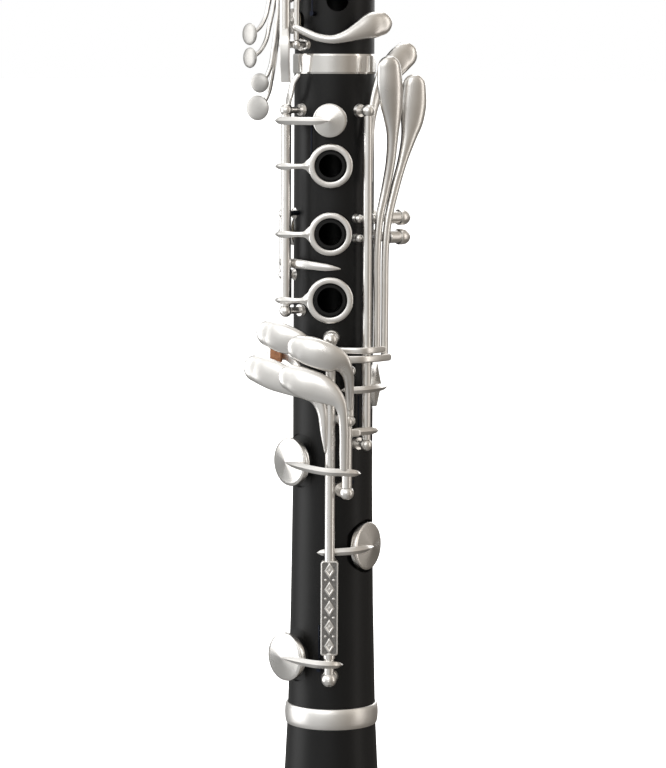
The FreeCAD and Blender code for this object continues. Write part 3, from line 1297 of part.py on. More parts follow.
def main():
    os.makedirs("parts", exist_ok=True)
    lower_ring_key()
    b_natural_sliver_key()
    a_flat_e_flat_key()
    f_sharp_c_sharp_key()
    f_c_key()
    e_b_key()
    left_levers()
    lower_hardware()
    upper_ring_key()
    c_sharp_g_sharp_key()
    e_flat_sliver_key()
    thumb_ring_key()
    side_trill_keys()
    throat_keys()
    register_key()
    upper_hardware()
    lower_joint()
    upper_joint()
    nodes["hinge_rods"] = Part.makeCompound(rods)
    corks()
    bell()
    barrel()
    mouthpiece()
    reed()
    ligature()
    thumb_rest()
    needle_springs()
    for name, shape in nodes.items():
        shape.exportStep(f"parts/{name}.step")
        print(name, shape.isValid(), len(shape.Solids), round(shape.Volume, 1))


main()
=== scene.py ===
import json
import math

import bmesh
import bpy
from mathutils import Matrix, Vector


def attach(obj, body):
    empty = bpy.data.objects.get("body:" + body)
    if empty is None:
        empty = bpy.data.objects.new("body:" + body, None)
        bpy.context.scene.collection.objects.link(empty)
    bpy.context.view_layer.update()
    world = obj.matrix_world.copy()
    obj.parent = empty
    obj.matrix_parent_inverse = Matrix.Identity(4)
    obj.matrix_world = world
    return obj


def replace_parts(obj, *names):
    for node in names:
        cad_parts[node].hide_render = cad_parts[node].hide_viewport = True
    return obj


# The looks of the clarinet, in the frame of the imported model: +Z up the bore from the
# bell's mouth, finger holes towards -Y. The keys' shapes are given in mm, the stage in metres.

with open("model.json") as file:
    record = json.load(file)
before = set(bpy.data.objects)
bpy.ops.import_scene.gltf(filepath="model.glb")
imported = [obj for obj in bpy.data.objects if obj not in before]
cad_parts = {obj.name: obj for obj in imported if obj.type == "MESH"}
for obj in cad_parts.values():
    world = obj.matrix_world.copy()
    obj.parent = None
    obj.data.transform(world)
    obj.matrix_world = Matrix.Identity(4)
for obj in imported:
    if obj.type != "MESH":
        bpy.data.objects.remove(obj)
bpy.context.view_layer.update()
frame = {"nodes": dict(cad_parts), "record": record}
nodes = frame["nodes"]
MM = 0.001

# Camera: in front of the middle joint and looking slightly down, in metres and degrees
VIEW_DISTANCE = 1.050
VIEW_HEIGHT = 0.3246
VIEW_PITCH = 5.884
VIEW_ROLL = 0.28
LENS = 145.5
SENSOR = 36.0


# ---------------------------------------------------------------- node helpers

def new_material(name):
    made = bpy.data.materials.new(name)
    made.use_nodes = True
    tree = made.node_tree
    shader = tree.nodes["Principled BSDF"]
    return made, tree, shader


def node(tree, kind, **values):
    """A shader node; keyword values set its properties, or its inputs by name."""
    made = tree.nodes.new("ShaderNode" + kind)
    for key, value in values.items():
        if key in made.inputs.keys():
            made.inputs[key].default_value = value
        else:
            setattr(made, key, value)
    return made


def stretched(tree, scale):
    """Object coordinates scaled along each axis."""
    place = node(tree, "TexCoord")
    mapping = node(tree, "Mapping")
    mapping.inputs["Scale"].default_value = scale
    tree.links.new(place.outputs["Object"], mapping.inputs["Vector"])
    return mapping.outputs["Vector"]


def noise(tree, vector, scale, detail=3.0, roughness=0.55):
    made = node(tree, "TexNoise")
    made.inputs["Scale"].default_value = scale
    made.inputs["Detail"].default_value = detail
    made.inputs["Roughness"].default_value = roughness
    tree.links.new(vector, made.inputs["Vector"])
    return made.outputs["Fac"]


def ramp(tree, value, low, high, low_colour, high_colour):
    made = node(tree, "ValToRGB")
    stops = made.color_ramp.elements
    stops[0].position, stops[1].position = low, high
    stops[0].color = (*low_colour, 1)
    stops[1].color = (*high_colour, 1)
    tree.links.new(value, made.inputs["Fac"])
    return made.outputs["Color"]


def spread(tree, value, low, high, to_low, to_high):
    made = node(tree, "MapRange")
    for name, number in (
        ("From Min", low), ("From Max", high), ("To Min", to_low), ("To Max", to_high)
    ):
        made.inputs[name].default_value = number
    tree.links.new(value, made.inputs["Value"])
    return made.outputs["Result"]


def bump(tree, shader, height, strength, distance):
    made = node(tree, "Bump")
    made.inputs["Strength"].default_value = strength
    made.inputs["Distance"].default_value = distance
    tree.links.new(height, made.inputs["Height"])
    tree.links.new(made.outputs["Normal"], shader.inputs["Normal"])


# ---------------------------------------------------------------- materials

PLATE_DULL, PLATE_BRIGHT = (0.88, 0.857, 0.825), (0.935, 0.918, 0.895)
# Silver for the side trill touches, darkened all over: painted shade that keeps their reflection of the
# left softbox from whiting out
SHADED_TOUCH_DULL, SHADED_TOUCH_BRIGHT = (0.47, 0.458, 0.44), (0.58, 0.567, 0.548)


def silver(name, roughness, anisotropic=0.0, spin=None, dull=PLATE_DULL, bright=PLATE_BRIGHT):
    """Satin silver plate: faint warm tarnish in patches and fine polishing marks."""
    made, tree, shader = new_material(name)
    shader.inputs["Metallic"].default_value = 1.0
    shader.inputs["Anisotropic"].default_value = anisotropic
    space = stretched(tree, (1, 1, 1))
    patches = noise(tree, space, 90, 4, 0.6)
    colour = ramp(tree, patches, 0.3, 0.75, dull, bright)
    tree.links.new(colour, shader.inputs["Base Color"])
    fine = noise(tree, space, 900, 2, 0.5)
    smear = noise(tree, space, 160, 3, 0.5)
    sheen = spread(tree, smear, 0.3, 0.7, roughness * 0.9, roughness * 1.12)
    tree.links.new(sheen, shader.inputs["Roughness"])
    bump(tree, shader, fine, 0.04, 0.000004)
    if spin:
        turn = node(tree, "Tangent")
        turn.direction_type = "RADIAL"
        turn.axis = spin
        tree.links.new(turn.outputs["Tangent"], shader.inputs["Tangent"])
    return made


def etched_silver():
    """The matted ground of an engraved panel, darker than the raised work on it."""
    made, tree, shader = new_material("etched_silver")
    shader.inputs["Metallic"].default_value = 1.0
    shader.inputs["Roughness"].default_value = 0.55
    grains = noise(tree, stretched(tree, (1, 1, 1)), 3200, 3, 0.6)
    colour = ramp(tree, grains, 0.3, 0.7, (0.16, 0.155, 0.15), (0.36, 0.35, 0.34))
    tree.links.new(colour, shader.inputs["Base Color"])
    bump(tree, shader, grains, 0.4, 0.00004)
    return made


def black_body(name, roughness=0.42):
    """Matte black resin with a fine grain brushed along the bore."""
    made, tree, shader = new_material(name)
    grain = noise(tree, stretched(tree, (1, 1, 0.06)), 1500, 3, 0.6)
    clouds = noise(tree, stretched(tree, (1, 1, 0.4)), 60, 4, 0.55)
    colour = ramp(tree, clouds, 0.3, 0.75, (0.0022, 0.0022, 0.0024), (0.0042, 0.0042, 0.0044))
    tree.links.new(colour, shader.inputs["Base Color"])
    sheen = spread(tree, clouds, 0.3, 0.7, roughness * 0.93, roughness * 1.08)
    tree.links.new(sheen, shader.inputs["Roughness"])
    shader.inputs["Specular IOR Level"].default_value = 0.30
    bump(tree, shader, grain, 0.10, 0.00004)
    return made


def cork():
    """Fine agglomerated cork: speckled grains with small dark pits."""
    made, tree, shader = new_material("cork")
    space = stretched(tree, (1, 1, 1))
    cells = node(tree, "TexVoronoi")
    cells.inputs["Scale"].default_value = 1400
    tree.links.new(space, cells.inputs["Vector"])
    grains = noise(tree, space, 900, 5, 0.65)
    colour = ramp(tree, grains, 0.3, 0.7, (0.20, 0.075, 0.03), (0.42, 0.19, 0.085))
    tree.links.new(colour, shader.inputs["Base Color"])
    shader.inputs["Roughness"].default_value = 0.8
    bump(tree, shader, cells.outputs["Distance"], 0.35, 0.00012)
    return made


def pad_skin():
    """Thin bladder skin over felt: creamy, slightly glossy and faintly wrinkled."""
    made, tree, shader = new_material("pad_skin")
    wrinkles = noise(tree, stretched(tree, (1, 1, 1)), 700, 4, 0.6)
    colour = ramp(tree, wrinkles, 0.3, 0.7, (0.50, 0.42, 0.30), (0.72, 0.66, 0.54))
    tree.links.new(colour, shader.inputs["Base Color"])
    shader.inputs["Roughness"].default_value = 0.45
    bump(tree, shader, wrinkles, 0.25, 0.00006)
    return made


def cane():
    """Reed cane: straw colour with long fibres."""
    made, tree, shader = new_material("cane")
    fibres = noise(tree, stretched(tree, (1, 1, 0.02)), 2200, 4, 0.6)
    blotches = noise(tree, stretched(tree, (1, 1, 0.3)), 150, 3, 0.5)
    colour = ramp(tree, fibres, 0.3, 0.7, (0.56, 0.40, 0.17), (0.80, 0.66, 0.38))
    tree.links.new(colour, shader.inputs["Base Color"])
    tree.links.new(spread(tree, blotches, 0.3, 0.7, 0.42, 0.6), shader.inputs["Roughness"])
    bump(tree, shader, fibres, 0.2, 0.00005)
    return made


def steel(name, low, high, roughness):
    """Ground steel with marks along its length."""
    made, tree, shader = new_material(name)
    shader.inputs["Metallic"].default_value = 1.0
    marks = noise(tree, stretched(tree, (1, 1, 0.05)), 3000, 3, 0.6)
    tree.links.new(ramp(tree, marks, 0.3, 0.7, low, high), shader.inputs["Base Color"])
    sheen = spread(tree, marks, 0.3, 0.7, roughness * 0.8, roughness * 1.2)
    tree.links.new(sheen, shader.inputs["Roughness"])
    bump(tree, shader, marks, 0.08, 0.00003)
    return made


def pale_floor():
    """A white sweep with the faintest mottling, lit up to the background's white."""
    made, tree, shader = new_material("pale_floor")
    speckle = noise(tree, stretched(tree, (1, 1, 1)), 3, 3, 0.5)
    colour = ramp(tree, speckle, 0.3, 0.7, (0.90, 0.90, 0.90), (0.93, 0.93, 0.925))
    tree.links.new(colour, shader.inputs["Base Color"])
    shader.inputs["Roughness"].default_value = 0.9
    shader.inputs["Emission Color"].default_value = (1, 1, 1, 1)
    shader.inputs["Emission Strength"].default_value = 1.0
    return made


materials = {
    "satin_silver": silver("satin_silver", 0.30),
    "bright_silver": silver("bright_silver", 0.16),
    "turned_silver": silver("turned_silver", 0.25, 0.9, "Z"),
    "soft_silver": silver("soft_silver", 0.40),
    # the same silver plate darkened for the trill touches: painted shade
    "shaded_touch_silver": silver("shaded_touch_silver", 0.42, dull=SHADED_TOUCH_DULL, bright=SHADED_TOUCH_BRIGHT),
    "etched_silver": etched_silver(),
    "black_body": black_body("black_body"),
    "mouthpiece_rubber": black_body("mouthpiece_rubber", 0.18),
    "cork": cork(),
    "pad_skin": pad_skin(),
    "cane": cane(),
    "steel": steel("steel", (0.30, 0.31, 0.33), (0.48, 0.49, 0.52), 0.3),
    "blued_steel": steel("blued_steel", (0.015, 0.017, 0.026), (0.035, 0.04, 0.055), 0.35),
}


def material_for(name, slot):
    """The material of a CAD node, from its name or its record slot."""
    if name == "needle_springs":
        return "blued_steel"
    if "ring" in name and not name.endswith("key") and slot == "silver_plate":
        return "bright_silver"
    return {"silver_plate": "satin_silver", "thumb_rest_metal": "satin_silver"}.get(slot, slot)


def dress_cad_nodes():
    slots = {part["node"]: part["material_slot"] for part in frame["record"]["subparts"]}
    for name, shape in nodes.items():
        if name not in slots:
            continue
        chosen = materials[material_for(name, slots[name])]
        shape.data.materials.clear()
        shape.data.materials.append(chosen)


# ---------------------------------------------------------------- mesh helpers

def around(angle, side, out, z):
    """A point `out` mm from the bore in the direction `angle`, `side` mm across it."""
    turn = math.radians(angle)
    x = out * math.sin(turn) + side * math.cos(turn)
    y = side * math.sin(turn) - out * math.cos(turn)
    return Vector((x, y, z))


def outward(angle):
    return around(angle, 0, 1, 0)


def eased(stations, steps):
    """Stations made dense by a smooth curve through them."""
    ends = [stations[0]] + list(stations) + [stations[-1]]
    dense = []
    for first, start, stop, last in zip(ends, ends[1:], ends[2:], ends[3:]):
        for step in range(steps):
            t = step / steps
            weights = (
                -0.5 * t + t * t - 0.5 * t**3,
                1 - 2.5 * t * t + 1.5 * t**3,
                0.5 * t + 2 * t * t - 1.5 * t**3,
                -0.5 * t * t + 0.5 * t**3,
            )
            four = (first, start, stop, last)
            dense.append([sum(w * s[k] for w, s in zip(weights, four)) for k in range(5)])
    dense.append(list(stations[-1]))
    return dense


def power(value, exponent):
    return math.copysign(abs(value) ** exponent, value)


def pillow(turn):
    """A crowned top over a flatter underside."""
    wide, deep = math.cos(turn), math.sin(turn)
    if deep > 0:
        return power(wide, 0.92), 1.25 * deep**1.05
    return power(wide, 0.8), 0.6 * power(deep, 0.6)


def oval(turn):
    return math.cos(turn), math.sin(turn)


def strap(turn):
    """A flat bar with rounded edges."""
    return power(math.cos(turn), 0.55), power(math.sin(turn), 0.55)


def blade(turn):
    """A bar with a ridge along its top."""
    wide, deep = power(math.cos(turn), 0.75), math.sin(turn)
    return (wide, 1.15 * (1 - abs(wide))**0.9) if deep > 0 else (wide, -0.75 * abs(deep)**0.5)


ROUND = [(math.cos(math.radians(a)), math.sin(math.radians(a))) for a in (8, 20, 35, 50, 65, 78)]
POINT = [(1.5, 0.04), (1.1, 0.35), (0.55, 0.75)]


class Shell:
    """A mesh that grows by closed limbs, turned parts and rings, in millimetres."""

    def __init__(self):
        self.mesh = bmesh.new()

    def skin(self, rings, closed=False):
        """Faces between rings of points, with the first and last ring filled."""
        made = [[self.mesh.verts.new(point) for point in ring] for ring in rings]
        count = len(made[0])
        pairs = list(zip(made, made[1:]))
        if closed:
            pairs.append((made[-1], made[0]))
        for low, high in pairs:
            for i in range(count):
                j = (i + 1) % count
                self.mesh.faces.new((low[i], low[j], high[j], high[i]))
        if not closed:
            for ring, flip in ((made[0], True), (made[-1], False)):
                centre = sum((v.co for v in ring), Vector()) / count
                hub = self.mesh.verts.new(centre)
                for i in range(count):
                    j = (i + 1) % count
                    corner = (ring[j], ring[i], hub) if flip else (ring[i], ring[j], hub)
                    self.mesh.faces.new(corner)

    def limb(self, stations, angle=0.0, up=None, shape=pillow, start=ROUND, end=ROUND, steps=6, count=28):
        """A limb through stations (side, out, z, half width, half depth) in the frame of `angle`.

        Its crowned side faces `up`: an angle, a pair of angles from start to end,
        or None for straight away from the bore.
        """
        dense = eased(stations, steps)
        centres = [around(angle, side, out, z) for side, out, z, _, _ in dense]
        rings = []
        last = len(dense) - 1
        for place, (centre, station) in enumerate(zip(centres, dense)):
            along = (centres[min(place + 1, last)] - centres[max(place - 1, 0)]).normalized()
            if up is None:
                facing = Vector((centre.x, centre.y, 0)).normalized()
            elif isinstance(up, tuple):
                share = place / last
                facing = outward(up[0] * (1 - share) + up[1] * share)
            else:
                facing = outward(up)
            wide = along.cross(facing).normalized()
            deep = wide.cross(along)
            width, depth = station[3], station[4]

            def ring(reach, shrink, thin):
                middle = centre + along * reach * width
                found = []
                for step in range(count):
                    u, v = shape(2 * math.pi * step / count)
                    found.append(middle + wide * (u * width * shrink) + deep * (v * depth * thin))
                return found

            if place == 0 and start:
                for reach, shrink in start:
                    rings.append(ring(-reach, shrink, math.sqrt(shrink)))
            rings.append(ring(0, 1, 1))
            if place == last and end:
                for reach, shrink in reversed(end):
                    rings.append(ring(reach, shrink, math.sqrt(shrink)))
        self.skin(rings)

    def turned(self, profile, place=None, count=48):
        """A closed solid of revolution about Z from (radius, height) corners on the axis at both ends."""
        place = place or Matrix.Identity(4)
        rings = []
        for radius, z in profile:
            rings.append([
                place @ Vector((radius * math.cos(a), radius * math.sin(a), z))
                for a in (2 * math.pi * step / count for step in range(count))
            ])
        self.skin(rings)

    def band(self, profile, place=None, count=72):
        """A ring of revolution about Z from a closed (radius, height) outline."""
        place = place or Matrix.Identity(4)
        rings = []
        for step in range(count):
            a = 2 * math.pi * step / count
            rings.append([
                place @ Vector((radius * math.cos(a), radius * math.sin(a), z))
                for radius, z in profile
            ])
        self.skin(rings, closed=True)

    def piece(self, name, body, material, sharp=38, place=None):
        """The finished object, in metres, riding on a body."""
        bmesh.ops.recalc_face_normals(self.mesh, faces=self.mesh.faces)
        data = bpy.data.meshes.new(name)
        self.mesh.to_mesh(data)
        self.mesh.free()
        data.transform(Matrix.Scale(MM, 4))
        for face in data.polygons:
            face.use_smooth = True
        data.set_sharp_from_angle(angle=math.radians(sharp))
        data.materials.append(materials[material])
        made = bpy.data.objects.new(name, data)
        bpy.context.scene.collection.objects.link(made)
        if place is not None:
            made.matrix_world = Matrix.LocRotScale(place.to_translation() * MM, place.to_quaternion(), None)
        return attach(made, body)


def standing(angle, z, side=0.0):
    """The place of a part modelled along +Z that stands out of the body."""
    across, out = around(angle, 1, 0, 0), outward(angle)
    axes = Matrix((across, Vector((0, 0, 1)), out)).transposed().to_4x4()
    axes.translation = across * side + Vector((0, 0, z))
    return axes


def turned_about(hinge, degrees):
    """A turn about the upright line through `hinge`."""
    there = Matrix.Translation((hinge.x, hinge.y, 0))
    return there @ Matrix.Rotation(math.radians(degrees), 4, "Z") @ there.inverted()


def tube_profile(radius, low, high, edge=0.15):
    return [(radius - edge, low), (radius, low + edge), (radius, high - edge), (radius - edge, high)]


def hinge_tube(shell, hinge, radius, low, high):
    """A hinge tube between two posts, with eased ends."""
    shell.turned(tube_profile(radius, low + POST_ROOM, high - POST_ROOM), Matrix.Translation(hinge), 40)


def pad_cup(name, body, pad, cone, hinge=None, swing=0.0):
    """A spun conical pad cup, as its own piece so that its turning marks run round it.

    An open key's cup is lifted off its seat by `swing` degrees about its hinge.
    """
    angle, z, seat, radius = pad
    place = standing(angle, z)
    if hinge is not None:
        place = turned_about(hinge, swing) @ place
    rim = seat + CUP_RIM
    shell = Shell()
    profile = [(radius - 0.5, seat + 1.2), (radius - 0.5, seat + 0.5), (radius - 0.12, seat + 0.42)]
    profile += [(radius, seat + 0.6), (radius, rim - 0.45), (radius - 0.12, rim - 0.14)]
    steps = 10
    for step in range(steps + 1):
        share = step / steps
        profile.append(((radius - 0.3) * (1 - share) + 0.02 * share, rim + cone * share**1.04))
    shell.turned(profile, None, 96)
    shell.piece(name, body, "turned_silver", 28, place)


# ---------------------------------------------------------------- keys of the lower joint

# Sizes shared with the design, in mm: how far a cup's rim stands above its pad's seat,
# the room that a post takes at each end of a tube, tube radii, and where the rings lie
CUP_RIM = 2.65
POST_ROOM = 1.6
TUBE, SLIM_TUBE = 1.7, 1.5
RING_X = -1.15
RING_PLANE, RING_TOP = 15.7, 16.9

RING_ANGLE = -53.5
RING_HINGE = around(RING_ANGLE, 0, 19.9, 0)
SLIVER_HINGE = around(-75, 0, 17.4, 0)
E_B_HINGE = around(-2.5, 0, 19.6, 0)
F_SHARP_HINGE = around(-2.5, 0, 15.8, 0)
F_C_HINGE = around(12.1, 0, 22.8, 0)
A_FLAT_HINGE = around(18.1, 0, 18.0, 0)
LEFT_F_HINGE = around(38.5, 0, 18.0, 0)

# Of each finger ring: its height, outer radius and inner radius
LOWER_RINGS = [(290.9, 7.4, 5.35), (268.2, 7.3, 5.35), (246.1, 7.8, 5.75)]

# Of each pad: its angle round the bore, its height, its seat's distance out and its radius
TOP_PAD = (-3.9, 306.0, 14.3, 5.7)
SLIVER_PAD = (-112.0, 268.5, 12.9, 5.2)
A_FLAT_PAD = (85.0, 216.5, 12.35, 7.5)
F_C_PAD = (-55.8, 191.0, 13.4, 8.2)
F_SHARP_PAD = (57.5, 162.0, 12.05, 8.2)
E_B_PAD = (-56.2, 124.5, 14.8, 8.2)

# How far the open keys' pads are lifted, in degrees
RING_SWING = -4.2
F_C_SWING = 6.7
E_B_SWING = 10.5


def finger_ring(shell, z, outer, inner, angle=0, side=RING_X):
    """A flat ring with a soft outer edge, lying over a finger hole."""
    low, high = RING_PLANE, RING_TOP
    profile = [
        (inner, low), (inner, high - 0.22), (inner + 0.08, high - 0.06), (inner + 0.28, high),
        (outer - 0.75, high), (outer - 0.4, high - 0.08), (outer - 0.12, high - 0.32),
        (outer, high - 0.65), (outer - 0.05, low + 0.1), (outer - 0.25, low),
    ]
    shell.band(profile, standing(angle, z, side))


def ring_arm(shell, z, outer, start):
    """A pointed blade from behind the hinge tube to the ring, fanning out where they meet."""
    left = RING_X - outer
    stations = [(*start[0], z - 0.3, 0.55, 0.35), (*start[1], z - 0.3, 1.0, 0.6)]
    stations += [(*start[2], z - 0.3, 1.15, 0.75), (-12.8, start[3], z - 0.2, 0.85, 0.7)]
    stations += [(left - 1.6, 16.1, z - 0.1, 0.95, 0.6), (left - 0.3, 16.25, z, 1.9, 0.5)]
    stations += [(left + 0.8, 16.3, z, 3.0, 0.42)]
    shell.limb(stations, shape=blade, start=POINT, end=None)


def lower_ring_key():
    shell = Shell()
    hinge_tube(shell, RING_HINGE, TUBE, 242.2, 309.3)
    for z, outer, inner in LOWER_RINGS:
        finger_ring(shell, z, outer, inner)
        ring_arm(shell, z, outer, [(-19.2, 11.3), (-18.2, 12.7), (-16.2, 13.9), 15.3])
    shell.limb([
        (-19.3, 10.9, 305.8, 0.6, 0.4),
        (-18.3, 12.7, 305.8, 1.15, 0.7),
        (-15.8, 14.7, 305.8, 1.35, 0.85),
        (-11.0, 17.3, 305.8, 1.3, 0.85),
        (-6.0, 19.0, 305.8, 1.2, 0.7),
        (-1.6, 19.55, 306.0, 0.25, 0.25),
    ], shape=blade, start=POINT, end=POINT)
    shell.limb([
        (-0.6, 19.0, 303.2, 1.1, 0.6),
        (-2.5, 17.2, 306.0, 1.1, 0.6),
        (-2.9, 16.7, 309.3, 1.0, 0.6),
        (-2.3, 17.3, 312.2, 1.3, 0.5),
        (-0.3, 17.9, 315.0, 1.4, 0.5),
        (0.6, 17.7, 318.0, 1.2, 0.5),
        (2.4, 17.0, 320.6, 0.9, 0.5),
    ], angle=RING_ANGLE, up=RING_ANGLE, shape=strap)
    key = shell.piece("lower_ring_key_looks", "lower_ring_key", "satin_silver")
    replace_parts(key, "lower_ring_key")
    pad_cup("lower_ring_cup", "lower_ring_key", TOP_PAD, 1.3, RING_HINGE, RING_SWING)


def b_natural_sliver_key():
    shell = Shell()
    hinge_tube(shell, SLIVER_HINGE, SLIM_TUBE, 253.9, 274.5)
    shell.limb([
        (-17.6, 5.6, 258.2, 1.3, 0.65),
        (-15.6, 8.6, 258.2, 1.55, 0.7),
        (-11.9, 12.3, 258.0, 1.6, 0.8),
        (-7.0, 15.3, 257.6, 1.4, 0.75),
        (-2.0, 16.3, 257.1, 1.15, 0.6),
        (2.0, 16.4, 256.7, 0.3, 0.3),
    ], shape=oval, end=POINT)
    shell.limb([
        (-17.9, 3.8, 268.3, 1.2, 0.7),
        (-17.8, 0.5, 268.5, 1.2, 0.75),
        (-16.6, -4.5, 268.5, 0.9, 0.7),
        (-15.9, -6.3, 268.5, 0.3, 0.3),
    ], shape=blade, end=POINT)
    key = shell.piece("b_natural_sliver_key_looks", "b_natural_sliver_key", "satin_silver")
    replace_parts(key, "b_natural_sliver_key")
    pad_cup("b_natural_sliver_cup", "b_natural_sliver_key", SLIVER_PAD, 1.2)


def a_flat_e_flat_key():
    shell = Shell()
    hinge_tube(shell, A_FLAT_HINGE, SLIM_TUBE, 205.7, 222.5)
    shell.limb([
        (-11.2, 23.0, 230.8, 4.2, 1.35),
        (-8.6, 24.0, 230.1, 4.8, 1.5),
        (-5.2, 24.8, 229.1, 5.0, 1.55),
        (-0.9, 25.0, 227.5, 4.7, 1.45),
        (2.3, 24.5, 226.0, 3.7, 1.2),
        (4.3, 23.1, 223.4, 2.4, 0.9),
        (5.3, 21.0, 219.6, 1.7, 0.7),
        (5.5, 19.4, 215.0, 1.5, 0.7),
        (5.5, 18.7, 210.5, 1.2, 0.7),
    ], up=-12, end=ROUND)
    shell.limb([
        (3.4, 18.6, 216.2, 0.5, 0.35),
        (5.0, 19.2, 216.3, 1.1, 0.6),
        (7.6, 18.9, 216.3, 1.2, 0.8),
        (11.6, 17.1, 216.4, 1.2, 0.8),
        (15.6, 12.2, 216.5, 1.2, 0.8),
        (17.6, 6.2, 216.5, 1.1, 0.8),
        (17.3, 3.6, 216.5, 0.8, 0.6),
        (16.6, 1.4, 216.5, 0.25, 0.3),
    ], shape=blade, start=POINT, end=POINT)
    key = shell.piece("a_flat_e_flat_key_looks", "a_flat_e_flat_key", "satin_silver")
    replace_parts(key, "a_flat_e_flat_key")
    pad_cup("a_flat_e_flat_cup", "a_flat_e_flat_key", A_FLAT_PAD, 1.5)


def f_sharp_c_sharp_key():
    shell = Shell()
    hinge_tube(shell, F_SHARP_HINGE, SLIM_TUBE, 158.0, 233.4)
    shell.limb([
        (-21.8, 12.8, 234.7, 4.3, 1.25),
        (-19.6, 13.9, 234.1, 4.8, 1.4),
        (-16.5, 15.1, 233.1, 4.95, 1.4),
        (-12.4, 15.9, 232.0, 4.3, 1.25),
        (-8.8, 16.2, 230.8, 3.1, 1.0),
        (-5.0, 16.4, 229.8, 1.9, 0.8),
        (-1.0, 16.2, 229.4, 1.2, 0.7),
    ], up=-20)
    shell.limb([
        (-0.7, 16.3, 229.4, 1.0, 0.7),
        (4.0, 17.2, 229.4, 1.1, 0.75),
        (9.5, 17.7, 229.4, 1.1, 0.75),
        (13.2, 15.6, 229.4, 1.1, 0.7),
        (16.6, 11.6, 229.4, 1.1, 0.7),
    ], shape=strap)
    shell.limb([
        (-4.6, 16.1, 160.9, 0.45, 0.35),
        (-2.9, 16.4, 161.0, 1.1, 0.5),
        (1.6, 16.4, 161.2, 1.25, 0.65),
        (7.0, 15.8, 161.5, 1.25, 0.8),
        (11.4, 12.5, 161.8, 1.1, 0.8),
        (13.8, 8.9, 162.0, 0.25, 0.3),
    ], shape=blade, start=POINT, end=POINT)
    key = shell.piece("f_sharp_c_sharp_key_looks", "f_sharp_c_sharp_key", "satin_silver")
    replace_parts(key, "f_sharp_c_sharp_key")
    pad_cup("f_sharp_c_sharp_cup", "f_sharp_c_sharp_key", F_SHARP_PAD, 1.6)


def f_c_key():
    shell = Shell()
    hinge_tube(shell, F_C_HINGE, TUBE, 182.1, 206.0)
    shell.limb([
        (-14.1, 22.1, 220.8, 4.3, 1.35),
        (-11.6, 23.2, 219.9, 4.9, 1.5),
        (-8.5, 24.2, 218.8, 5.1, 1.55),
        (-4.3, 25.0, 217.4, 4.8, 1.45),
        (-0.7, 25.5, 215.4, 3.8, 1.3),
        (2.1, 25.8, 212.8, 2.35, 1.05),
        (3.3, 25.8, 208.8, 1.65, 0.85),
        (3.7, 25.2, 202.6, 1.5, 0.8),
        (3.7, 24.5, 196.0, 1.45, 0.75),
        (3.7, 24.1, 190.4, 1.35, 0.65),
    ], up=-4)
    shell.limb([
        (8.9, 21.7, 188.6, 0.5, 0.35),
        (7.3, 23.2, 188.9, 1.15, 0.65),
        (3.5, 24.3, 189.2, 1.25, 0.85),
        (-2.0, 24.0, 189.4, 1.25, 0.85),
        (-7.5, 21.5, 190.0, 1.25, 0.85),
        (-12.5, 17.0, 190.7, 1.15, 0.85),
        (-15.9, 12.7, 191.0, 0.25, 0.3),
    ], shape=blade, start=POINT, end=POINT)
    shell.limb([
        (4.9, 22.0, 202.2, 1.2, 0.7),
        (7.0, 21.4, 202.2, 1.3, 0.6),
        (8.2, 20.9, 202.2, 1.3, 0.55),
    ], up=12, shape=strap)
    shell.limb([
        (-10.6, 22.6, 221.6, 1.5, 0.8),
        (-12.2, 19.6, 224.8, 1.2, 0.8),
        (-14.2, 14.0, 225.9, 1.1, 0.8),
        (-16.2, 8.6, 226.7, 1.4, 0.8),
        (-20.4, 4.9, 227.1, 2.2, 0.8),
    ], up=-60, shape=strap)
    key = shell.piece("f_c_key_looks", "f_c_key", "satin_silver")
    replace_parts(key, "f_c_key")
    pad_cup("f_c_cup", "f_c_key", F_C_PAD, 1.6, F_C_HINGE, F_C_SWING)


PLATE_WIDTH, PLATE_LOW, PLATE_HIGH = 5.7, 126.8, 158.8
PLATE_FRONT = E_B_HINGE.y - 1.8
LOZENGES, LOZENGE_HALF_WIDTH, LOZENGE_HALF_HEIGHT = 5, 1.7, 2.75
# Of a lozenge, from its foot to its hollow middle: its size, and how far it lies behind the front
LOZENGE_STEPS = [(1, 0.4), (1, 0.14), (0.86, 0.04), (0.66, 0.04), (0.52, 0.22), (0.30, 0.22), (0.12, 0.04)]
BEAD = [(0.42, -0.1), (0.42, 0.08), (0.3, 0.2), (0.08, 0.26)]


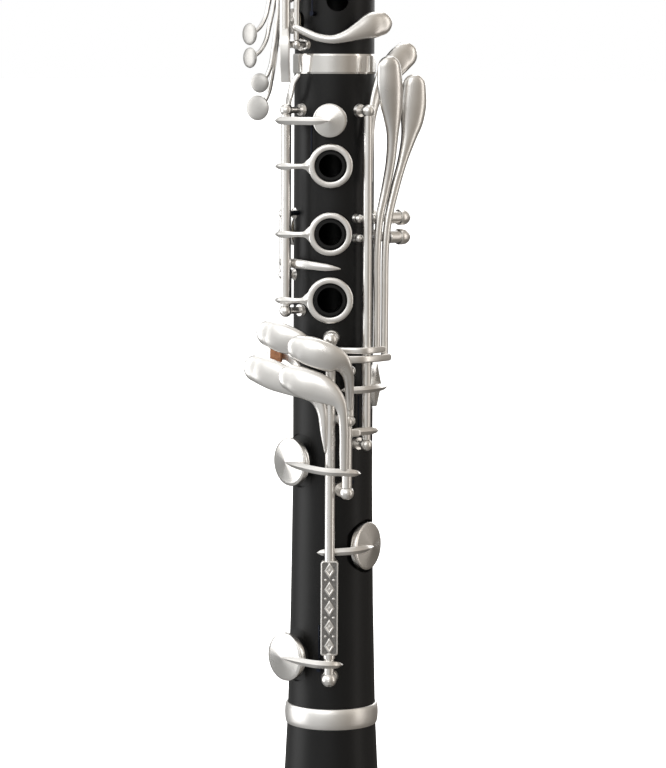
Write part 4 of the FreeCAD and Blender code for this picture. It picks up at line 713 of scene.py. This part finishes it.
def ornament_plate(shell):
    """The flat panel of the centre tube: a raised border round a row of lozenges."""
    front, middle = PLATE_FRONT, E_B_HINGE.x

    def outline(inset, y, corner=0.7):
        half = PLATE_WIDTH / 2 - inset
        bottom, top = PLATE_LOW + inset, PLATE_HIGH - inset
        corners = [(half, top, 0), (-half, top, 90), (-half, bottom, 180), (half, bottom, 270)]
        found = []
        for cx, cz, first in corners:
            x0 = middle + cx - math.copysign(corner, cx)
            z0 = cz - (corner if cz == top else -corner)
            for turn in range(first, first + 91, 15):
                a = math.radians(turn)
                found.append(Vector((x0 + corner * math.cos(a), y, z0 + corner * math.sin(a))))
        return found

    shell.skin([
        outline(0.2, front + 3.6),
        outline(0.0, front + 3.4),
        outline(0.0, front + 0.12),
        outline(0.12, front),
        outline(0.42, front, 0.5),
        outline(0.54, front + 0.3, 0.4),
    ])
    wide, tall = LOZENGE_HALF_WIDTH, LOZENGE_HALF_HEIGHT
    base = [(wide, 0), (0, tall), (-wide, 0), (0, -tall)]
    pitch = (PLATE_HIGH - PLATE_LOW) / LOZENGES
    for place in range(LOZENGES):
        centre = PLATE_LOW + pitch * (place + 0.5)
        shell.skin([
            [Vector((middle + u * grow, front + back, centre + v * grow)) for u, v in base]
            for grow, back in LOZENGE_STEPS
        ])
        if place:
            for side in (-1, 1):
                there = Matrix.Translation((middle + side * 1.35, front + 0.3, centre - pitch / 2))
                shell.turned(BEAD, there @ Matrix.Rotation(math.radians(90), 4, "X"), 20)
    ground = Shell()
    ground.skin([outline(0.5, front + 0.34, 0.4), outline(0.5, front + 0.26, 0.4)])
    ground.piece("e_b_plate_ground", "e_b_key", "etched_silver")


def e_b_key():
    shell = Shell()
    shell.turned(tube_profile(TUBE, 118.25 + POST_ROOM, 127.5), Matrix.Translation(E_B_HINGE), 40)
    shell.turned(tube_profile(2.0, 125.4, 127.4), Matrix.Translation(E_B_HINGE), 40)
    shell.turned(tube_profile(TUBE, 158.0, 233.4 - POST_ROOM), Matrix.Translation(E_B_HINGE), 40)
    ornament_plate(shell)
    shell.limb([
        (-26.0, 11.0, 222.7, 4.5, 1.25),
        (-23.4, 12.4, 221.9, 4.9, 1.4),
        (-19.5, 14.2, 220.5, 5.05, 1.4),
        (-14.4, 16.5, 218.6, 4.4, 1.35),
        (-9.4, 18.7, 216.6, 3.5, 1.2),
        (-5.6, 20.0, 213.8, 2.5, 1.05),
        (-3.6, 20.5, 209.0, 1.7, 0.95),
        (-2.9, 20.6, 202.0, 1.25, 0.85),
        (-2.3, 20.3, 195.6, 0.5, 0.5),
    ], up=-20, end=POINT)
    shell.limb([
        (-0.8, 19.9, 226.6, 1.0, 0.8),
        (4.0, 19.6, 226.6, 1.2, 0.8),
        (9.5, 18.6, 226.6, 1.2, 0.8),
        (14.5, 14.8, 226.6, 1.2, 0.75),
        (18.6, 9.9, 226.6, 1.2, 0.7),
    ], shape=strap)
    shell.limb([
        (3.4, 18.9, 123.2, 0.5, 0.35),
        (1.8, 20.6, 123.4, 1.1, 0.6),
        (-1.5, 21.7, 123.6, 1.3, 0.85),
        (-6.0, 21.0, 123.8, 1.3, 0.85),
        (-11.5, 17.8, 124.2, 1.15, 0.85),
        (-17.3, 13.6, 124.5, 0.25, 0.3),
    ], shape=blade, start=POINT, end=POINT)
    key = shell.piece("e_b_key_looks", "e_b_key", "satin_silver")
    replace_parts(key, "e_b_key")
    pad_cup("e_b_cup", "e_b_key", E_B_PAD, 1.6, E_B_HINGE, E_B_SWING)


# ---------------------------------------------------------------- left-hand levers

LEVER_ANGLE = 40.0
PIVOT_OUT = 15.05
ROCKER_BAR = 17.35
UPPER_PIVOT, LOWER_PIVOT = 273.3, 266.7
DOME_RADIUS, DOME_SIDE = 2.7, 17.7


def rocker_hub(shell, angle, out, z, side, width, bar_out, tube):
    """The short tube under a rocking bar, and the lug that carries it."""
    along = standing(angle, z, side)
    turn = Matrix.Translation((0, 0, out)) @ Matrix.Rotation(math.radians(90), 4, "Y")
    shell.turned(tube_profile(tube, -width / 2, width / 2, 0.12), along @ turn, 32)
    half = width * 0.35
    box = [(half, -1.0), (half, 1.0), (-half, 1.0), (-half, -1.0)]
    shell.skin([[along @ Vector((x, y, level)) for x, y in box] for level in (out, bar_out)])


def left_levers():
    shell = Shell()
    shell.limb([
        (4.6, 17.35, 229.3, 1.35, 0.85),
        (4.55, 17.35, 246.0, 1.35, 0.85),
        (4.5, 17.35, 262.0, 1.35, 0.85),
        (5.3, 17.5, 273.0, 1.45, 0.9),
        (7.4, 18.1, 283.0, 1.6, 1.0),
        (8.5, 19.2, 292.0, 1.7, 1.15),
        (8.5, 20.2, 300.5, 2.0, 1.3),
        (7.9, 20.8, 306.5, 3.0, 1.45),
        (7.0, 21.2, 312.0, 4.0, 1.6),
        (6.0, 21.6, 318.0, 4.35, 1.7),
        (5.4, 21.8, 323.5, 3.95, 1.55),
    ], angle=LEVER_ANGLE, up=(LEVER_ANGLE, 12))
    rocker_hub(shell, LEVER_ANGLE, PIVOT_OUT, UPPER_PIVOT, 5.2, 3.0, ROCKER_BAR, 1.4)
    key = shell.piece("left_f_sharp_lever_looks", "left_f_sharp_lever", "satin_silver")
    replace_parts(key, "left_f_sharp_lever")

    shell = Shell()
    shell.limb([
        (7.95, 17.35, 226.4, 1.35, 0.85),
        (8.0, 17.35, 245.0, 1.35, 0.85),
        (8.1, 17.35, 262.0, 1.35, 0.85),
        (9.2, 17.5, 273.0, 1.45, 0.9),
        (11.8, 17.9, 283.5, 1.6, 1.0),
        (14.2, 18.6, 292.0, 1.75, 1.15),
        (16.2, 19.3, 299.5, 2.6, 1.35),
        (17.4, 19.8, 305.5, 3.9, 1.55),
        (17.8, 20.2, 311.5, 4.4, 1.65),
        (17.8, 20.4, 317.4, 4.0, 1.55),
    ], angle=LEVER_ANGLE, up=(LEVER_ANGLE, 10))
    rocker_hub(shell, LEVER_ANGLE, PIVOT_OUT, LOWER_PIVOT, 8.2, 3.0, ROCKER_BAR, 1.4)
    key = shell.piece("left_e_b_lever_looks", "left_e_b_lever", "satin_silver")
    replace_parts(key, "left_e_b_lever")

    shell = Shell()
    hinge_tube(shell, LEFT_F_HINGE, 1.55, 197.4, 309.2)
    shell.limb([
        (1.3, 17.3, 286.0, 0.9, 0.6),
        (1.7, 16.9, 298.0, 1.1, 0.75),
        (3.4, 15.5, 307.0, 1.5, 0.8),
        (6.0, 15.0, 314.5, 2.3, 0.9),
        (9.6, 15.7, 320.8, 3.8, 1.3),
        (13.3, 17.0, 325.4, 4.5, 1.5),
        (16.0, 17.7, 327.8, 4.35, 1.4),
    ], angle=LEVER_ANGLE, up=(LEVER_ANGLE, 15))
    shell.limb([
        (14.6, 13.4, 202.2, 0.9, 0.6),
        (12.6, 15.4, 202.2, 1.3, 0.75),
        (10.4, 16.9, 202.2, 1.3, 0.75),
        (8.4, 18.2, 202.2, 1.3, 0.7),
        (7.2, 19.2, 202.2, 1.2, 0.55),
    ], shape=blade, start=POINT)
    key = shell.piece("left_f_c_lever_looks", "left_f_c_lever", "satin_silver")
    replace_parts(key, "left_f_c_lever")


def pivot_barrels():
    """The stout sleeves and domed ends that carry the two levers' rods at the right."""
    shell = Shell()
    for z in (UPPER_PIVOT, LOWER_PIVOT):
        place = standing(LEVER_ANGLE, z) @ Matrix.Translation((0, 0, PIVOT_OUT))
        place = place @ Matrix.Rotation(math.radians(90), 4, "Y")
        sleeve = [(1.85, 11.2), (2.1, 11.45), (2.1, 15.3), (1.95, 15.45), (2.5, 15.6), (2.7, 15.95)]
        dome = [
            (DOME_RADIUS * math.cos(turn), DOME_SIDE + DOME_RADIUS * math.sin(turn))
            for turn in (0, 0.3, 0.6, 0.9, 1.2, 1.45)
        ]
        shell.turned(sleeve + dome, place, 40)
    shell.piece("pivot_barrels", "root", "satin_silver")


# ---------------------------------------------------------------- keys of the upper joint

UPPER_RING_ANGLE = -54.0
UPPER_RING_HINGE = around(UPPER_RING_ANGLE, 0, 20.5, 0)
C_SHARP_HINGE = around(-44.6, 0, 18.0, 0)
THUMB_HINGE = around(-140.0, 0, 18.0, 0)
E_FLAT_HINGE = around(-66.0, 0, 16.4, 0)

UPPER_RINGS = [(374.0, 7.3, 5.35), (398.0, 7.0, 5.1)]
THUMB_RING = (398.0, 7.2, 5.3)

UPPER_RING_PAD = (6.0, 386.0, 14.3, 4.2)
C_SHARP_PAD = (-72.0, 338.8, 13.0, 4.2)
E_FLAT_PAD = (-100.0, 350.6, 12.9, 4.2)
THUMB_PAD = (-176.0, 413.0, 14.3, 4.4)

UPPER_RING_SWING = -4.0
THUMB_SWING = 4.0


def upper_ring_key():
    shell = Shell()
    hinge_tube(shell, UPPER_RING_HINGE, 1.85, 331.0, 410.0)
    for z, outer, inner in UPPER_RINGS:
        finger_ring(shell, z, outer, inner)
        ring_arm(shell, z, outer, [(-19.7, 11.5), (-18.6, 13.0), (-16.6, 14.1), 15.4])
    shell.limb([
        (-19.7, 11.3, 386.0, 0.5, 0.35),
        (-18.7, 13.1, 386.0, 1.0, 0.6),
        (-14.0, 16.4, 386.0, 1.2, 0.8),
        (-8.0, 18.6, 386.0, 1.2, 0.8),
        (-2.0, 19.5, 386.0, 1.1, 0.7),
        (1.6, 19.4, 386.0, 0.25, 0.3),
    ], shape=blade, start=POINT, end=POINT)
    shell.limb([
        (1.0, 21.2, 336.0, 1.3, 0.5),
        (2.2, 22.1, 333.2, 1.6, 0.45),
        (2.5, 22.3, 330.5, 1.7, 0.42),
        (2.3, 22.1, 326.5, 1.7, 0.42),
        (1.2, 21.2, 322.3, 1.7, 0.42),
        (0.7, 20.6, 318.6, 1.7, 0.42),
    ], angle=UPPER_RING_ANGLE, up=-12, shape=strap, start=None, end=None)
    key = shell.piece("upper_ring_key_looks", "upper_ring_key", "satin_silver")
    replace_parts(key, "upper_ring_key")
    pad_cup("upper_ring_cup", "upper_ring_key", UPPER_RING_PAD, 1.0, UPPER_RING_HINGE, UPPER_RING_SWING)


def c_sharp_g_sharp_key():
    shell = Shell()
    hinge_tube(shell, C_SHARP_HINGE, 1.0, 331.0, 352.0)
    shell.limb([
        (-12.9, 13.4, 336.6, 1.2, 0.7),
        (-9.8, 14.6, 335.2, 1.3, 0.8),
        (-5.4, 15.9, 333.4, 1.35, 0.85),
        (-0.6, 16.4, 332.8, 1.45, 0.9),
        (4.0, 16.1, 333.9, 2.0, 1.0),
        (8.4, 15.1, 335.8, 3.1, 1.2),
        (12.2, 13.8, 337.4, 4.3, 1.5),
        (15.4, 12.2, 338.1, 3.9, 1.4),
    ], up=(-40, 22))
    shell.limb([
        (-12.9, 11.9, 338.8, 0.9, 0.5),
        (-14.6, 9.3, 338.8, 1.0, 0.6),
        (-15.8, 6.9, 338.8, 0.8, 0.55),
        (-15.8, 5.2, 338.8, 0.3, 0.3),
    ], shape=blade, end=POINT)
    key = shell.piece("c_sharp_g_sharp_key_looks", "c_sharp_g_sharp_key", "satin_silver")
    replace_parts(key, "c_sharp_g_sharp_key")
    pad_cup("c_sharp_g_sharp_cup", "c_sharp_g_sharp_key", C_SHARP_PAD, 1.0)


def e_flat_sliver_key():
    shell = Shell()
    hinge_tube(shell, E_FLAT_HINGE, 1.3, 346.5, 366.0)
    shell.limb([
        (-15.3, 7.4, 361.9, 1.0, 0.6),
        (-12.0, 12.6, 361.8, 1.5, 0.7),
        (-7.0, 15.2, 361.6, 1.3, 0.7),
        (-2.0, 16.1, 361.3, 1.0, 0.6),
        (2.0, 16.2, 361.0, 0.3, 0.3),
    ], shape=oval, end=POINT)
    shell.limb([
        (-15.3, 6.2, 350.8, 1.0, 0.5),
        (-15.55, 3.2, 350.7, 1.0, 0.45),
        (-15.65, -0.4, 350.6, 0.8, 0.4),
        (-15.7, -2.9, 350.6, 0.3, 0.3),
    ], shape=blade, end=POINT)
    key = shell.piece("e_flat_sliver_key_looks", "e_flat_sliver_key", "satin_silver")
    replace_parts(key, "e_flat_sliver_key")
    pad_cup("e_flat_sliver_cup", "e_flat_sliver_key", E_FLAT_PAD, 1.0)


def thumb_ring_key():
    shell = Shell()
    hinge_tube(shell, THUMB_HINGE, SLIM_TUBE, 386.0, 418.0)
    finger_ring(shell, *THUMB_RING, 180, 0)
    shell.limb([
        (-12.9, -14.2, 398.0, 0.7, 0.5),
        (-10.2, -15.9, 398.0, 1.1, 0.65),
        (-7.9, -16.3, 398.0, 1.7, 0.55),
        (-6.0, -16.3, 398.0, 2.6, 0.42),
    ], shape=blade, start=POINT, end=None)
    shell.limb([
        (-12.6, -14.4, 413.0, 0.7, 0.5),
        (-9.0, -17.3, 413.0, 1.1, 0.7),
        (-5.0, -18.8, 413.0, 1.0, 0.65),
        (-1.5, -18.7, 413.0, 0.25, 0.3),
    ], shape=blade, start=POINT, end=POINT)
    key = shell.piece("thumb_ring_key_looks", "thumb_ring_key", "satin_silver")
    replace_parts(key, "thumb_ring_key")
    pad_cup("thumb_ring_cup", "thumb_ring_key", THUMB_PAD, 1.0, THUMB_HINGE, THUMB_SWING)


# ---------------------------------------------------------------- rocking keys

TRILL_ANGLE = -85.0
TRILL_PIVOT_OUT = 16.6
TRILL_BAR = 19.2
TRILL_SEAT = 12.9
TRILL_CUP = 4.2
# Of each trill key: bar's side, pivot height, pad angle and height,
# then its touch's x, y, height, radius and the angle that it faces
TRILL_KEYS = [
    (-4.5, 420.0, -101.2, 487.0, -28.6, -0.6, 334.5, 3.7, -50.0),
    (-1.5, 420.0, -90.2, 472.0, -28.4, -3.6, 326.6, 3.45, -50.0),
    (4.4, 372.0, -68.5, 441.0, -25.0, -6.6, 318.2, 3.25, -22.0),
    (1.5, 372.0, -79.4, 426.0, -25.8, -4.2, 309.9, 4.2, -25.0),
]
# How a trill lever leaves its touch: share of the way to its bar sideways, share of
# its height left above the bar, distance up from the touch, half width, half depth
TRILL_NECK = [
    (0, 1.0, 0, 1.0, 0.6),
    (0.08, 0.85, 0.7, 1.0, 0.65),
    (0.35, 0.62, 2.6, 1.1, 0.7),
    (0.78, 0.42, 6.0, 1.1, 0.75),
    (1.0, 0.3, 10.5, 1.05, 0.75),
    (1.0, 0.12, 19.0, 1.05, 0.8),
    (1.0, 0, 32.0, 1.05, 0.8),
]


def round_touch(shell, x, y, z, radius, angle):
    """A round touch with a soft edge and a low crown, facing the direction `angle`."""
    place = standing(angle, z)
    place.translation = Vector((x, y, z))
    profile = [(radius - 1.2, -0.6), (radius - 0.45, -0.55), (radius - 0.12, -0.35), (radius, -0.05)]
    profile += [(radius * math.cos(a), 0.05 + 0.8 * math.sin(a)) for a in (0.25, 0.5, 0.75, 1.0, 1.25, 1.5)]
    shell.turned(profile, place, 56)


def side_trill_keys():
    across, out = around(TRILL_ANGLE, 1, 0, 0), outward(TRILL_ANGLE)
    for place, (side, pivot, pad_angle, pad_z, x, y, z, radius, facing) in enumerate(TRILL_KEYS, 1):
        behind = Vector((x, y, 0)) - outward(facing) * 0.4
        end_side, end_out = behind.dot(across), behind.dot(out)
        top = around(pad_angle, 0, TRILL_SEAT + CUP_RIM + 0.95, 0)
        pad_side, pad_out = top.dot(across), top.dot(out)
        shell = Shell()
        neck = []
        for way, lift, up, wide, deep in TRILL_NECK:
            beside = end_side + (side - end_side) * way
            above = TRILL_BAR + (end_out - TRILL_BAR) * lift
            neck.append((beside, above, z + up, wide, deep))
        shell.limb(neck + [
            (side, TRILL_BAR, (z + 32 + pad_z) / 2, 1.05, 0.8),
            (side, TRILL_BAR, pad_z - 14, 1.05, 0.8),
            (pad_side, TRILL_BAR - 0.3, pad_z - 6, 0.95, 0.75),
            (pad_side, pad_out, pad_z + 0.5, 0.3, 0.3),
        ], angle=TRILL_ANGLE, up=TRILL_ANGLE, shape=oval, start=None, end=POINT)
        name = f"side_trill_key_{place}"
        touch = Shell()
        round_touch(touch, x, y, z, radius, facing)
        # The touch takes the darkened silver, painted shade in place of its plain plate colour
        touch.piece(f"side_trill_touch_{place}", name, "shaded_touch_silver")
        rocker_hub(shell, TRILL_ANGLE, TRILL_PIVOT_OUT, pivot, side, 2.0, TRILL_BAR, 1.2)
        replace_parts(shell.piece(f"{name}_looks", name, "satin_silver"), name)
        pad_cup(f"side_trill_cup_{place}", name, (pad_angle, pad_z, TRILL_SEAT, TRILL_CUP), 1.0)


ROCKER_PIVOT_OUT, ROCKER_TOP = 16.3, 18.6


def rocking_key(name, angle, stations, pivot, pad):
    """A short lever from a finger touch over its pivot to a pad cup."""
    shell = Shell()
    shell.limb(stations, angle=angle, up=angle, end=POINT)
    rocker_hub(shell, angle, ROCKER_PIVOT_OUT, pivot, 0, 4.0, ROCKER_TOP, 1.3)
    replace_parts(shell.piece(f"{name}_looks", name, "satin_silver"), name)
    pad_cup(f"{name}_cup", name, (angle, *pad), 1.0)


def throat_and_register_keys():
    rocking_key("throat_a_key", -4, [
        (1.6, 20.4, 412.5, 3.6, 1.0),
        (1.1, 20.4, 416.5, 3.5, 1.1),
        (0.4, 19.6, 422.5, 1.8, 0.9),
        (0, 18.8, 429.0, 1.2, 0.85),
        (0, 18.6, 437.0, 1.1, 0.8),
        (0, 16.6, 446.0, 0.3, 0.3),
    ], 428.0, (446.0, 12.9, 4.6))
    rocking_key("throat_g_sharp_key", 38, [
        (-2.0, 20.4, 409.0, 2.6, 0.95),
        (-1.8, 20.4, 415.0, 2.9, 1.05),
        (-0.8, 19.5, 424.0, 1.5, 0.9),
        (0, 18.8, 433.0, 1.2, 0.85),
        (0, 18.6, 441.0, 1.1, 0.8),
        (0, 16.6, 451.0, 0.3, 0.3),
    ], 434.0, (451.0, 12.9, 4.6))
    rocking_key("register_key", 158, [
        (0, 20.6, 416.0, 2.8, 1.0),
        (0, 21.0, 420.0, 3.1, 1.1),
        (0, 20.2, 428.0, 1.8, 0.95),
        (0, 18.9, 440.0, 1.4, 0.85),
        (0, 18.7, 462.0, 1.2, 0.85),
        (0, 18.4, 480.0, 1.0, 0.8),
        (0, 16.6, 488.0, 0.3, 0.3),
    ], 446.0, (488.0, 12.9, 3.6))


# ---------------------------------------------------------------- bell rings

# A ring's bulge: share of its half height, share of its swell
BULGE = [
    (-1, 0.0), (-0.97, 0.35), (-0.85, 0.62), (-0.5, 0.86), (0, 0.95),
    (0.5, 0.86), (0.85, 0.62), (0.97, 0.35), (1, 0.0),
]
# Of the socket's ring and the mouth's: radius, swell, middle height, half height, points round it
BELL_RINGS = [(15.05, 1.0, 103.4, 3.6, 96), (37.85, 1.75, 3.55, 2.95, 128)]


def bell_rings():
    """The bulging ring at the bell's socket and the rolled one round its mouth."""
    shell = Shell()
    for radius, swell, middle, half, count in BELL_RINGS:
        shell.band([(radius + swell * out, middle + half * way) for way, out in BULGE], None, count)
    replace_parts(shell.piece("bell_rings_looks", "root", "soft_silver"), "bell_rings")


# ---------------------------------------------------------------- stage

def look_at(thing, target):
    thing.rotation_mode = "QUATERNION"
    thing.rotation_quaternion = (Vector(target) - thing.location).to_track_quat("-Z", "Y")


def area_light(name, place, target, width, height, power, colour=(1, 1, 1)):
    data = bpy.data.lights.new(name, "AREA")
    data.shape = "RECTANGLE"
    data.size, data.size_y = width, height
    data.energy = power
    data.color = colour
    made = bpy.data.objects.new(name, data)
    made.location = place
    bpy.context.scene.collection.objects.link(made)
    look_at(made, target)
    made.visible_camera = False
    return made


def make_lights():
    middle = (0, 0, 0.27)
    area_light("softbox_left", (-1.5, 0.0, 0.45), middle, 1.1, 1.8, 12)
    area_light("softbox_front", (-0.6, -1.7, 1.0), middle, 1.4, 1.0, 7)
    area_light("strip_right", (1.1, -0.35, 0.35), middle, 0.25, 1.3, 1.5, (1, 0.96, 0.91))
    area_light("top_light", (0, 0.3, 1.6), middle, 1.2, 1.2, 9)
    area_light("back_fill", (0.6, 1.4, 0.8), middle, 1.4, 1.0, 8)


# The studio's brightness from left (0) to right (1), as reflections see it
STUDIO_SWEEP = [
    (0.0, (0.60, 0.60, 0.59, 1)),
    (0.30, (0.66, 0.66, 0.65, 1)),
    (0.50, (0.46, 0.448, 0.43, 1)),
    (0.65, (0.42, 0.40, 0.37, 1)),
    (0.82, (0.30, 0.27, 0.235, 1)),
    (1.0, (0.40, 0.37, 0.335, 1)),
]


def make_world():
    """A pale studio: white to the eye; in reflections white at the left, dimmer at the right and back."""
    world = bpy.data.worlds.new("studio")
    bpy.context.scene.world = world
    world.use_nodes = True
    tree = world.node_tree
    tree.nodes.clear()
    out = node(tree, "OutputWorld")
    place = node(tree, "TexCoord")
    split = node(tree, "SeparateXYZ")
    tree.links.new(place.outputs["Generated"], split.inputs["Vector"])
    sweep = node(tree, "ValToRGB")
    stops = sweep.color_ramp.elements
    stops[0].position, stops[0].color = STUDIO_SWEEP[0]
    stops[1].position, stops[1].color = STUDIO_SWEEP[-1]
    for position, colour in STUDIO_SWEEP[1:-1]:
        stops.new(position).color = colour
    tree.links.new(spread(tree, split.outputs["X"], -1, 1, 0, 1), sweep.inputs["Fac"])
    depth = spread(tree, split.outputs["Y"], -0.2, 0.7, 1.0, 0.5)
    rise = spread(tree, split.outputs["Z"], -0.5, 0.6, 0.66, 1.5)
    level = node(tree, "Math", operation="MULTIPLY")
    tree.links.new(depth, level.inputs[0])
    tree.links.new(rise, level.inputs[1])
    studio = node(tree, "Background")
    tree.links.new(sweep.outputs["Color"], studio.inputs["Color"])
    tree.links.new(level.outputs["Value"], studio.inputs["Strength"])
    white = node(tree, "Background")
    white.inputs["Color"].default_value = (1, 1, 1, 1)
    ray = node(tree, "LightPath")
    mix = node(tree, "MixShader")
    tree.links.new(ray.outputs["Is Camera Ray"], mix.inputs["Fac"])
    tree.links.new(studio.outputs["Background"], mix.inputs[1])
    tree.links.new(white.outputs["Background"], mix.inputs[2])
    tree.links.new(mix.outputs["Shader"], out.inputs["Surface"])


FLOOR_RADIUS = 60
FLOOR_DROP = 0.0002


def make_floor():
    """A wide disc just under the bell's mouth, unseen in reflections."""
    mesh = bpy.data.meshes.new("floor")
    shape = bmesh.new()
    bmesh.ops.create_circle(shape, cap_ends=True, radius=FLOOR_RADIUS, segments=96)
    shape.to_mesh(mesh)
    shape.free()
    floor = bpy.data.objects.new("floor", mesh)
    mesh.materials.append(pale_floor())
    bpy.context.scene.collection.objects.link(floor)
    floor.location = (0, 0, -FLOOR_DROP)
    floor.visible_glossy = False


def make_camera():
    data = bpy.data.cameras.new("camera")
    data.lens = LENS
    data.sensor_width = SENSOR
    data.sensor_fit = "VERTICAL"
    data.sensor_height = SENSOR
    data.clip_start, data.clip_end = 0.05, 100
    made = bpy.data.objects.new("camera", data)
    bpy.context.scene.collection.objects.link(made)
    pitch = Matrix.Rotation(math.radians(90 - VIEW_PITCH), 4, "X")
    roll = Matrix.Rotation(math.radians(VIEW_ROLL), 4, "Z")
    made.matrix_world = Matrix.Translation((0, -VIEW_DISTANCE, VIEW_HEIGHT)) @ pitch @ roll
    bpy.context.scene.camera = made


def set_colours():
    view = bpy.context.scene.view_settings
    view.view_transform = "Standard"
    view.look = "None"


dress_cad_nodes()
lower_ring_key()
b_natural_sliver_key()
a_flat_e_flat_key()
f_sharp_c_sharp_key()
f_c_key()
e_b_key()
left_levers()
pivot_barrels()
upper_ring_key()
c_sharp_g_sharp_key()
e_flat_sliver_key()
thumb_ring_key()
side_trill_keys()
throat_and_register_keys()
bell_rings()
make_world()
make_floor()
make_lights()
make_camera()
set_colours()
